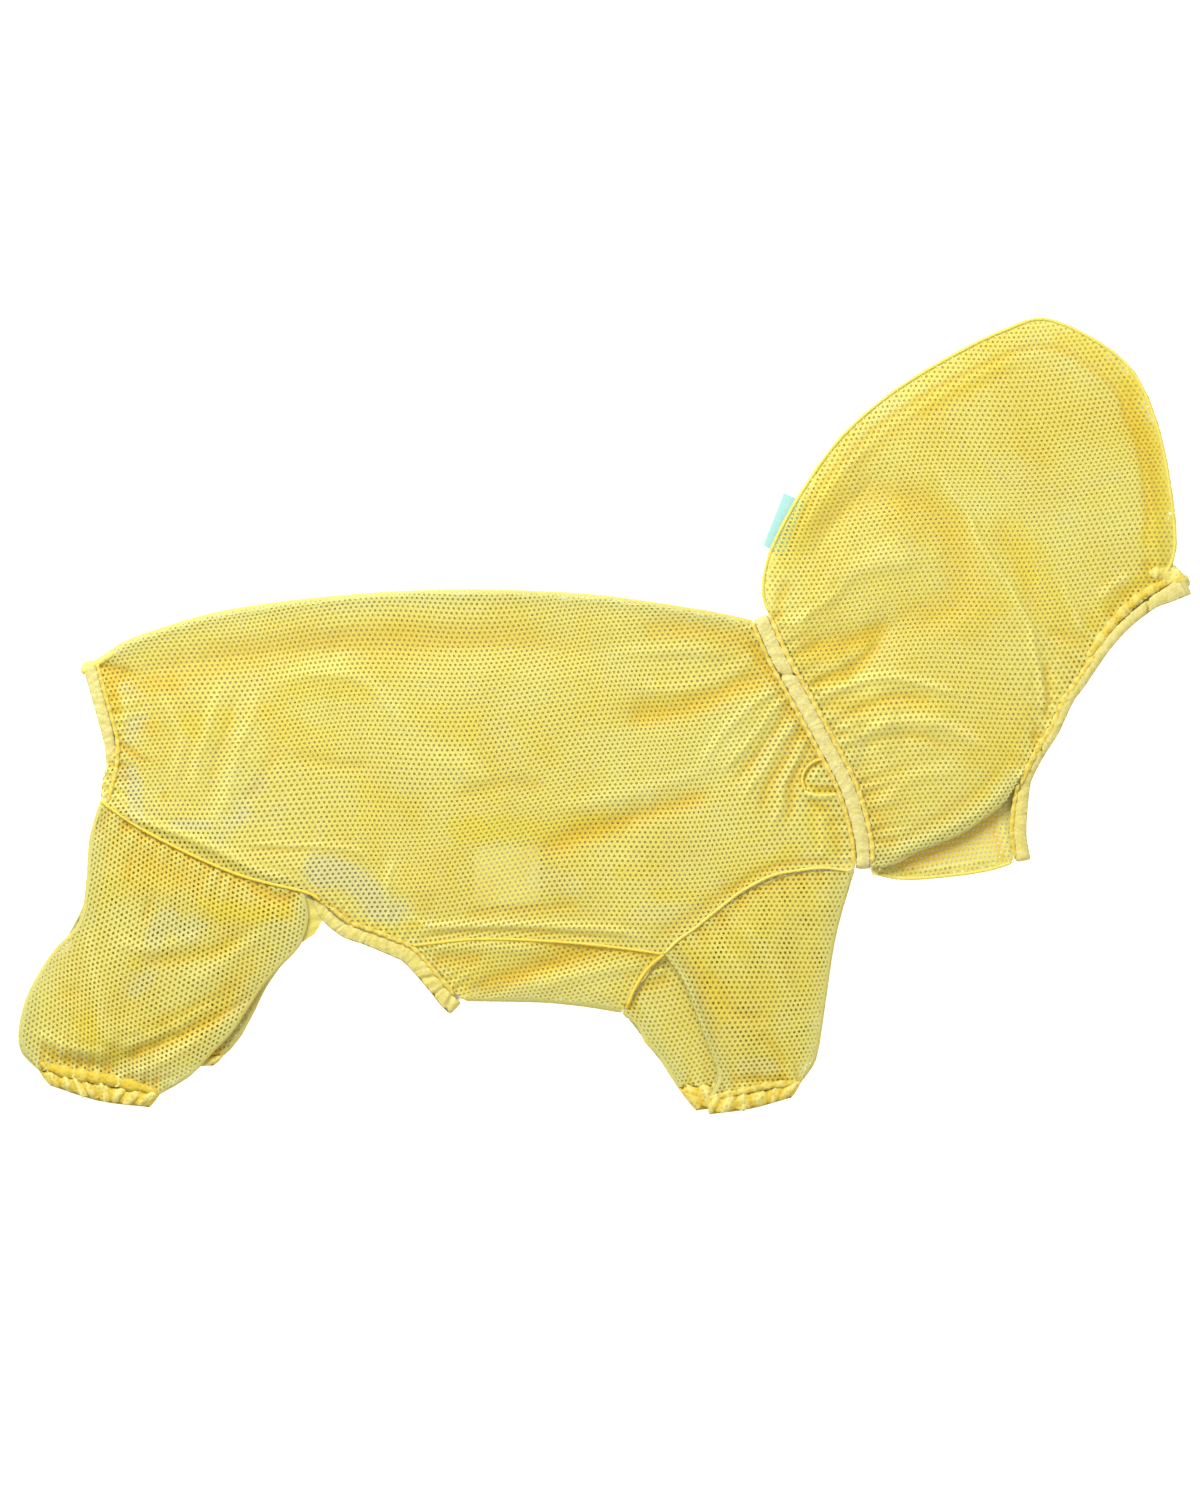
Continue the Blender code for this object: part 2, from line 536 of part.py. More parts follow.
def leg(name, rows, top_path, cuff_row, far, steps, top_steps, low_steps):
    """A leg or sleeve. Its first line is the seam to the body, its last the seam to the cuff."""
    sewn = bowed(cuff_row.sewn, cuff_row.bow / 2).beside(-SEAM_GAP / 2)
    top, bottom = (path.at(np.array([0.0, 1.0])) for path in (top_path, sewn))
    a_edge = smooth([top[0]] + [row.a for row in rows[1:]] + [bottom[0]], steps)
    b_edge = smooth([top[1]] + [row.b for row in rows[1:]] + [bottom[1]], steps)
    puff = LEG_PUFF if far is None else 0.0
    on_floor = LIE_AT_CUFF if cuff_row.under_z == FLOOR_Z else 0.0
    end = Section(*cuff_row.sewn, cuff_row.top_z, cuff_row.top_z + puff, cuff_row.top_z, on_floor)
    rows = (*rows, end)
    plan = Plan(a_edge, b_edge, first=top_path, last=sewn)
    outer, inner = flattened(name, plan, blend_heights(rows, steps, far), CLOTH, top_steps, low_steps, True)
    return wall_mesh(name, *trim(outer, inner), closed=True)


def bowed(ends, bow):
    """A shallow curve between two ends, bowed to the left of the way it runs."""
    a, b = (np.array(end, float) for end in ends)
    left = np.array([-(b - a)[1], (b - a)[0]]) / np.hypot(*(b - a))
    return Path([a, (a + b) / 2 + left * bow, b])


def cuff(row):
    """A short flattened tube whose near layer is gathered in waves."""
    middle = (np.array(row.sewn) + np.array(row.free)) / 2
    lines = [bowed(row.sewn, row.bow / 2), bowed(middle, row.bow * 0.8), bowed(row.free, row.bow)]
    outer_rows, inner_rows = [], []
    for index, line in enumerate(lines):
        plan = Plan([line.at(0.0), line.at(0.0)], [line.at(1.0), line.at(1.0)], first=line)
        height = row.top_z + (CUFF_PUFF if index == 1 and row.side == "right" else 0.0)

        def heights(i, v, height=height):
            return height + 0 * v, row.under_z + 0 * v

        def gather(i, s, length):
            wave = 0.5 - 0.5 * np.cos(2 * math.pi * row.waves * s / length)
            fade = ease(s / RIDGE_FADE) * ease((length - s) / RIDGE_FADE)
            return GATHER[row.side] * wave * fade

        outer, inner = flattened(row.node, plan, heights, CLOTH, 2 * row.waves, 6, True, gather, 3)
        outer_rows.append(outer[0])
        inner_rows.append(inner[0])
    return wall_mesh(row.node, np.array(outer_rows), np.array(inner_rows), closed=True)


def casing(name, rows, wall, steps, low_steps):
    """An elastic casing, flattened: a near strip over a far strip, ridged where it is gathered."""
    middle = Path([row.at for row in rows])
    columns = (casing_column(rows, field) for field in ("half", "far_z", "near_z", "ridge"))
    half, far_z, near_z, ridges = columns
    waves = round(middle.length / RIDGE_PITCH)
    outer_rows, inner_rows = [], []
    v_line = np.linspace(0, 1, CASING_SAMPLES)
    for place, crown in ((-1.0, 0.0), (0.0, CASING_CROWN), (1.0, 0.0)):
        line = Path(middle.at(v_line) + middle.side(v_line) * (half(v_line) * place)[:, None], steps=0)
        plan = Plan([line.at(0.0)] * 2, [line.at(1.0)] * 2, first=line)

        def heights(i, v):
            return near_z(v), np.maximum(far_z(v), wall / 2)

        def ridge(i, s, length, crown=crown):
            v = s / length
            wave = 0.5 - 0.5 * np.cos(2 * math.pi * waves * v)
            fade = ease(s / RIDGE_FADE) * ease((length - s) / RIDGE_FADE)
            return (crown + wave * ridges(v)) * fade

        outer, inner = flattened(name, plan, heights, wall, steps, low_steps, True, ridge, 3)
        outer_rows.append(outer[0])
        inner_rows.append(inner[0])
    return wall_mesh(name, np.array(outer_rows), np.array(inner_rows), closed=True)


def casing_column(rows, field):
    """One column of a casing's table, as a function of the fraction of its length."""
    runs = np.hypot(*np.diff([row.at for row in rows], axis=0).T)
    knots = np.concatenate([[0], np.cumsum(runs)]) / runs.sum()
    return lambda v: np.interp(v, knots, [getattr(row, field) for row in rows])


def casing_edge(rows, side, slack=EDGE_SLACK):
    """Points along the seam beside a casing: the edge of the cloth that is sewn to it."""
    v = np.linspace(0, 1, CASING_SAMPLES)
    middle = Path([row.at for row in rows])
    width = casing_column(rows, "half")(v) + SEAM_GAP + slack
    return middle.at(v) + side * middle.side(v) * width[:, None]


def hood_plan(b_field, slack=EDGE_SLACK):
    """Half a hood, from its crown seam to its fold or its throat edge."""
    crown = smooth([row.crown for row in HOOD], HOOD_STEPS)
    lower = smooth([getattr(row, b_field) for row in HOOD], HOOD_STEPS)
    neck = casing_edge(NECK, -1)
    edge = casing_edge(FACE, 1, slack)
    crown_end = np.argmin(np.hypot(*(edge - crown[-1]).T))
    lower_end = np.argmin(np.hypot(*(edge - lower[-1]).T))
    first, last = Path(neck, steps=0), Path(edge[crown_end : lower_end + 1], steps=0)
    crown[0], lower[0] = first.at(0.0), first.at(1.0)
    crown[-1], lower[-1] = last.at(0.0), last.at(1.0)
    return Plan(crown, lower, first, last, power=1)


def hood_left():
    """The far half: one flat layer down to the seam at the throat."""
    plan = hood_plan("throat", FAR_HOOD_SLACK)
    # Closer together near the throat, where the face band's edge curves.
    across = 1 - np.linspace(1, 0, 11) ** 1.6
    outer, inner = [], []
    for i in range(plan.count):
        line = plan.at(i, across)
        outer.append(np.column_stack([line, np.full(len(line), CLOTH)]))
        inner.append(np.column_stack([line, np.zeros(len(line))]))
    return wall_mesh("hood_left", *trim(np.array(outer), np.array(inner), EDGE_GAP), closed=False)


def hood_right():
    """The near half: it rises from the crown seam, and is tucked under at the throat."""
    plan = hood_plan("fold")
    throat = smooth([row.throat for row in HOOD], HOOD_STEPS)
    throat[0] = plan.b[0] + THROAT_START
    puffs = smooth([row.puff for row in HOOD], HOOD_STEPS)[:, 0]
    radius = (TUCK_Z[0] - TUCK_Z[1]) / 2
    folds, backs = [], []
    for i in range(plan.count):
        inward = plan.at(i, [1 - HOOD_RISE / plan.length(i)])[0] - plan.b[i]
        inward /= np.hypot(*inward)
        folds.append(plan.b[i] + inward * (radius + CLOTH / 2))
        backs.append(folds[-1] + inward * TUCK * min(1.0, TUCK_LEAST + i / TUCK_ROWS))
    edge = casing_edge(FACE, 1)
    near_end, far_end = (np.argmin(np.hypot(*(edge - end).T)) for end in (backs[-1], throat[-1]))
    throat[-1] = edge[far_end]
    under = Plan(backs, throat, last=Path(np.vstack([backs[-1], edge[near_end + 1 : far_end + 1]]), steps=0))
    outer, inner = [], []
    for i in range(plan.count):
        length = plan.length(i)
        reach = length - radius - CLOTH / 2
        s = np.linspace(0, reach, 13)
        line = plan.at(i, s / length)
        rise = ease(s / HOOD_RISE)
        settle = ease((reach - s) / HOOD_SETTLE)
        z = CROWN_Z + (puffs[i] - CROWN_Z) * rise
        z = TUCK_Z[0] + (z - TUCK_Z[0]) * settle
        z = np.maximum(z + fold_height("hood_right", line) * settle, CROWN_Z)
        fold, back = folds[i], backs[i]
        inward = (back - fold) / np.hypot(*(back - fold))
        for side, rows in ((1, outer), (-1, inner)):
            half = side * CLOTH / 2
            turn_1 = [(fold - inward * (radius + half) * math.sin(a), math.cos(a) * (radius + half))
                      for a in np.linspace(0, math.pi, 4)[1:-1]]
            turn_2 = [(back + inward * (radius - half) * math.sin(a), math.cos(a) * (radius - half))
                      for a in np.linspace(0, math.pi, 4)[1:-1]]
            mid_1 = (TUCK_Z[0] + TUCK_Z[1]) / 2
            mid_2 = (TUCK_Z[1] + TUCK_Z[2]) / 2
            row = list(np.column_stack([line, z + half]))
            row += [np.append(place, mid_1 + up) for place, up in turn_1]
            row += [np.append(place, TUCK_Z[1] - half) for place in (fold, back)]
            row += [np.append(place, mid_2 + up) for place, up in turn_2]
            row += [np.append(place, TUCK_Z[2] + half) for place in under.at(i, (0.0, 0.35, 0.7, 1.0))]
            rows.append(row)
    return wall_mesh("hood_right", *trim(np.array(outer), np.array(inner), EDGE_GAP), closed=False)


def ribbon(name, corners, z, columns, rows):
    """A woven label: a plain flat ribbon between four corners."""
    corners = np.array(corners, float)
    outer, inner = [], []
    for t in np.linspace(0, 1, rows + 1):
        left = corners[0] + (corners[1] - corners[0]) * t
        right = corners[3] + (corners[2] - corners[3]) * t
        line = left + (right - left) * np.linspace(0, 1, columns + 1)[:, None]
        outer.append(np.column_stack([line, np.full(len(line), z + RIBBON)]))
        inner.append(np.column_stack([line, np.full(len(line), z)]))
    return wall_mesh(name, np.array(outer), np.array(inner), closed=False)


def centre_on_origin():
    """Puts the origin under the middle of the garment's box, on the floor."""
    meshes = [obj.data for obj in bpy.data.objects if obj.type == "MESH"]
    points = np.array([vertex.co[:] for mesh in meshes for vertex in mesh.vertices])
    middle = (points.min(axis=0) + points.max(axis=0)) / 2
    for mesh in meshes:
        for vertex in mesh.vertices:
            vertex.co.x -= middle[0]
            vertex.co.y -= middle[1]


def build():
    clear_scene()
    net = material("mesh_cloth", NET, 0.75)
    cream = material("elastic_casing", CREAM, 0.8)
    cyan = material("side_label", CYAN, 0.6)
    label = material("care_label", LABEL_CREAM, 0.6)

    leg_top = seam_run(0, LEG_ROW, SEAM_GAP)
    far_leg_top = seam_run(0, LEG_ROW, SEAM_GAP + FAR_LEG_SLACK)
    arm_top = seam_run(ARM_ROW, len(BODY) - 1, SEAM_GAP)
    far_arm_top = Path([*BELLY_FRONT, *(row.b for row in BODY[ARM_ROW + 1 :])])
    far_arm_top = far_arm_top.beside(SEAM_GAP + FAR_SLEEVE_SLACK)

    for obj in (body(), belly_panel(), hood_right(), hood_left()):
        obj.data.materials.append(net)
    legs = (
        leg("leg_right", LEG_RIGHT, leg_top, CUFFS[0], None, 2, 11, 4),
        leg("leg_left", LEG_LEFT, far_leg_top, CUFFS[1], FLOOR_Z, 1, 8, 8),
        leg("sleeve_right", SLEEVE_RIGHT, arm_top, CUFFS[2], None, 2, 9, 4),
        leg("sleeve_left", SLEEVE_LEFT, far_arm_top, CUFFS[3], FLOOR_Z, 1, 9, 4),
    )
    for obj in legs:
        obj.data.materials.append(net)
    for row in CUFFS:
        cuff(row).data.materials.append(cream)
    casing("neck_band", NECK, CASING, 52, 12).data.materials.append(cream)
    casing("face_band", FACE, CASING, 64, 16).data.materials.append(cream)
    casing("rear_band", REAR, RIBBON, 78, 18).data.materials.append(cream)
    ribbon("side_label", SIDE_LABEL, CLOTH + SEAM_GAP, 1, 1).data.materials.append(cyan)
    ribbon("care_label", CARE_LABEL, CLOTH + SEAM_GAP, 2, 2).data.materials.append(label)
    centre_on_origin()


build()
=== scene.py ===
"""A dog's mesh bug suit of yellow net, laid flat on its left side on a pale floor.

Lines and places are drawn in millimetres on a sheet whose origin is a little off the garment's
own, so each is moved by SHEET before it is used. The nose points along +X and the back along +Y.
"""

import math
from collections import namedtuple
from functools import cache

import bpy
import numpy as np
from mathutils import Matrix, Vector
from mathutils.bvhtree import BVHTree


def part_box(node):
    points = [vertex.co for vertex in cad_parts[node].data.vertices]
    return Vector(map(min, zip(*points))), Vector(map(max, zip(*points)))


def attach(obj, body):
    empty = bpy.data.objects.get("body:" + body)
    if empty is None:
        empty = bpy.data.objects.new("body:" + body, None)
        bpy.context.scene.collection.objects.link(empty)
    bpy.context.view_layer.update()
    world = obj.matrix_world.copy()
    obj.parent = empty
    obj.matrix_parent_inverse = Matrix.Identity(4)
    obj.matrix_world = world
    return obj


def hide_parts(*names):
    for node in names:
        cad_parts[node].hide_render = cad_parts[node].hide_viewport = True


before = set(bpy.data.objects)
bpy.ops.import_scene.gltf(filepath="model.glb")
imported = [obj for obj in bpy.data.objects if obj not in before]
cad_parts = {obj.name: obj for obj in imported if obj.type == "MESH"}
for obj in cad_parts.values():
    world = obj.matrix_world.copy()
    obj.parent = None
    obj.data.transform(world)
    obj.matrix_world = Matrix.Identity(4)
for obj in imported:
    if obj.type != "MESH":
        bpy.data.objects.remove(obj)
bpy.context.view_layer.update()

# A millimetre in metres, the move from the sheet, and the thickness of a solid's wall.
MM = 0.001
SHEET = np.array((0.7513, 0.3134))
CLOTH = 1.2
UP = Vector((0.0, 0.0, 1.0))
DOWN = Vector((0.0, 0.0, -1.0))

# A height clear of the garment, in metres, and a step that is just inside a face.
FAR_OFF = 0.05
JUST_INSIDE = 1e-5

# The net: six-sided holes, with flat threads between them, and the size of the bolt.
PITCH = 2.14
THREAD = 1.1
BOLT_COLUMNS, BOLT_ROWS = 168, 72

# Cutting: the spare net left round a piece, the halvings that find its edge, and how many thicknesses
# lie between two walls that count as apart.
CUT_MARGIN = 9
HALVINGS = 5
APART = 1.7

# The lining: how far it goes in under the right side, and how far it hangs below the wall.
LINING_TUCK = 4
LINING_DROP = 0.4

# The lengths of the cells of bands and seams, the height of the labels, and the scale of a fine weave.
CASING_CELL, CUFF_CELL, WELT_CELL, TURN_CELL = 0.7, 0.6, 0.45, 0.8
LABEL_Z = 2.0
WEAVE_SCALE = 620.0

# The length of a fine ripple along a band or a seam.
RIPPLE = 1.9

Cloth = namedtuple("Cloth", "node name turn far_turn rims gathers cut cut_area rests_on seed trim")
Gather = namedtuple("Gather", "line pitch reach height tint seed")

# Folds that the cloth turns round, in plan.
RIMS = {
    "spine": ((-212.6, 23.4), (-202.0, 31.3), (-184.8, 37.6), (-163.0, 43.9), (-140.7, 47.7),
              (-114.7, 50.6), (-87.4, 52.7), (-55.9, 53.6), (-24.4, 52.7), (0.8, 51.0), (21.8, 48.1),
              (40.7, 45.2), (54.2, 42.6), (62.6, 40.6)),
    "belly": ((-57.3, -119.6), (-41.2, -119.9), (-24.4, -120.3), (-7.6, -122.0), (7.6, -124.5)),
    "leg_rear": ((-211.3, -35.5), (-215.9, -51.0), (-217.1, -68.7), (-220.1, -85.9), (-229.7, -96.8),
                 (-236.9, -107.3), (-242.8, -119.1), (-245.7, -132.5), (-244.2, -141.3), (-236.9, -148.8)),
    "leg_front": ((-125.2, -73.7), (-123.5, -85.0), (-127.3, -96.4), (-134.8, -104.4), (-142.8, -113.6),
                  (-149.1, -122.9), (-155.4, -132.5), (-163.4, -140.9), (-173.5, -151.2), (-186.0, -158.8)),
    "far_leg_front": ((-124.6, -84.4), (-127.7, -95.5), (-135.2, -104.8), (-141.5, -114.0),
                      (-146.6, -124.5), (-151.6, -133.8), (-156.2, -139.7), (-159.3, -142.6)),
    "sleeve_rear": ((25.6, -99.8), (32.8, -109.4), (37.4, -120.3), (42.0, -132.1), (46.2, -143.4),
                    (48.3, -152.0), (43.9, -160.6)),
    "sleeve_front": ((105.7, -64.3), (101.2, -79.2), (97.4, -94.7), (94.9, -110.7), (92.4, -128.3),
                     (89.5, -144.3), (83.2, -153.9)),
    "far_sleeve_rear": ((8.7, -125.2), (14.3, -130.4), (17.6, -137.1), (22.7, -142.2), (27.3, -149.7),
                        (31.5, -156.1)),
    "throat": ((112.7, -63.6), (122.3, -62.4), (131.9, -57.3), (142.0, -53.4), (151.8, -49.0),
               (160.7, -43.0), (168.0, -37.2), (175.6, -25.0)),
}

# Seams that gather the cloth beside them.
SEAMS = {
    "neck": ((65.9, 42.0), (74.1, 23.7), (82.3, 9.0), (91.6, -8.2), (102.9, -30.5), (108.6, -51.5),
             (109.2, -64.1)),
    "face": ((245.4, 55.4), (238.1, 51.5), (231.0, 47.8), (220.3, 39.3), (211.1, 29.2), (201.0, 14.5),
             (195.5, 6.9), (189.6, -5.7), (184.2, -14.1), (178.5, -24.5)),
    "tail": ((-216.0, 22.6), (-213.4, 12.4), (-209.2, -2.7), (-207.1, -12.0), (-208.0, -22.5),
             (-211.3, -35.5)),
    "flank": ((-117.2, -82.6), (-108.4, -89.3), (-99.5, -92.6), (-90.7, -96.0), (-82.3, -99.8),
              (-76.9, -105.2), (-70.1, -113.2), (-65.1, -119.5)),
    "hind_cuff": ((-236.9, -148.8), (-211.0, -152.6), (-186.0, -158.8)),
    "far_hind_cuff": ((-205.8, -140.6), (-159.3, -142.6)),
    "front_cuff": ((43.9, -160.6), (63.0, -156.2), (83.2, -153.9)),
    "far_front_cuff": ((31.5, -156.1), (79.8, -150.8)),
    "leg": ((-211.3, -35.5), (-195.3, -46.4), (-173.5, -57.8), (-150.4, -67.4), (-125.2, -73.7)),
    "armhole": ((25.6, -99.8), (31.5, -94.0), (38.2, -89.3), (45.8, -83.0), (56.7, -74.5), (64.3, -70.0),
                (71.8, -66.6), (80.2, -64.9), (92.4, -63.6), (103.7, -64.0)),
    "belly_seam": ((-80.0, -96.2), (-51.7, -93.5), (-18.1, -94.7), (7.1, -97.2), (25.6, -99.8)),
    "crown": ((69.2, 43.5), (66.3, 52.0), (69.3, 68.7), (81.5, 92.6), (98.7, 117.0), (121.0, 136.7),
              (147.8, 153.1), (168.8, 163.2), (185.6, 167.8), (206.6, 159.0), (223.4, 145.1),
              (233.9, 121.2), (239.4, 93.0), (241.1, 71.2), (237.2, 58.6)),
}

# The nets: the node, the name, how far the bolt is turned for the near and the far layer in degrees, the
# folds, the gathers, the size of the cut in metres and its area in square metres, what it rests on, a
# seed and the trim.
CLOTHS = (
    Cloth("body", "body_net", 4.5, -7.0, ("spine",), ("shoulder", "tail", "flank"), (0.318, 0.30), 0.0754,
          ("floor",), 3, ("rear_casing", "neck_casing", "leg_seam", "tail_seam", "neck_seam_back", "care_tab",
                      "spine_turn", "tail_corner", "slit_rim", "slit_lip", "flank_seam")),
    Cloth("belly_panel", "belly_net", 12.0, -3.0, ("belly",), ("flank",), (0.105, 0.052), 0.00447,
          ("floor",), 5, ("belly_seam", "underarm_seam", "belly_turn")),
    Cloth("hood_right", "hood_right_net", 3.0, 24.0, ("throat",), ("neck", "face"), (0.175, 0.235), 0.0273,
          ("hood_left_net",), 7, ("face_casing", "crown_seam", "neck_seam_front", "face_seam", "side_tab",
                                  "throat_turn", "face_gather", "corner_puff", "throat_seam")),
    Cloth("hood_left", "hood_left_net", 11.0, 38.0, (), ("neck", "face"), (0.175, 0.235), 0.0262,
          ("floor",), 9, ("throat_hem",)),
    Cloth("leg_right", "leg_right_net", -38.0, -29.0, ("leg_rear", "leg_front"), ("hind_cuff", "leg"),
          (0.18, 0.12), 0.0175, ("leg_left_net", "floor"), 11,
          ("hind_cuff_right", "leg_rear_turn", "leg_front_turn", "hind_gather",
           "leg_corner")),
    Cloth("leg_left", "leg_left_net", -47.0, -34.0, ("far_leg_front",), ("far_hind_cuff",),
          (0.17, 0.105), 0.0140, ("floor",), 13, ("hind_cuff_left", "far_leg_front_turn")),
    Cloth("sleeve_right", "sleeve_right_net", -58.0, -49.0, ("sleeve_rear", "sleeve_front"),
          ("front_cuff", "armhole"), (0.156, 0.088), 0.0094, ("sleeve_left_net",), 15,
          ("front_cuff_right", "armhole_seam", "sleeve_rear_turn", "sleeve_front_turn", "front_gather")),
    Cloth("sleeve_left", "sleeve_left_net", -52.0, -66.0, ("far_sleeve_rear",), ("far_front_cuff",),
          (0.20, 0.08), 0.0109, ("floor",), 17,
          ("front_cuff_left", "far_sleeve_rear_turn", "far_front_gather")),
)

# Gathers beside a seam: its line, the length of a wave, how far the waves reach, their height, their painted
# shading (painted highlight on the crests, painted golden shade in the troughs) and a seed.
GATHERS = {
    "neck": Gather(SEAMS["neck"], 6.5, 14.0, 0.7, 0.8, 21),
    "shoulder": Gather(SEAMS["neck"], 5.0, 7.0, 0.5, 0.9, 31),
    "face": Gather(SEAMS["face"], 5.5, 8.0, 0.5, 0.8, 22),
    "tail": Gather(SEAMS["tail"], 5.0, 8.0, 0.5, 0.9, 23),
    "flank": Gather(SEAMS["flank"], 4.5, 8.0, 0.6, 0.9, 24),
    "hind_cuff": Gather(SEAMS["hind_cuff"], 6.0, 10.0, 0.8, 1.3, 25),
    "far_hind_cuff": Gather(SEAMS["far_hind_cuff"], 6.0, 8.0, 0.2, 0.8, 26),
    "front_cuff": Gather(SEAMS["front_cuff"], 6.5, 7.0, 0.5, 1.0, 27),
    "far_front_cuff": Gather(SEAMS["far_front_cuff"], 7.0, 8.0, 0.2, 0.9, 28),
    "leg": Gather(SEAMS["leg"], 9.0, 9.0, 0.4, 0.8, 29),
    "armhole": Gather(SEAMS["armhole"], 8.0, 9.0, 0.3, 0.6, 30),
}

# How much deeper folds are made than they are drawn, and how far down and up they may go.
FOLD_DEPTH = 1.3
LIFT_RANGE = (-1.0, 2.0)
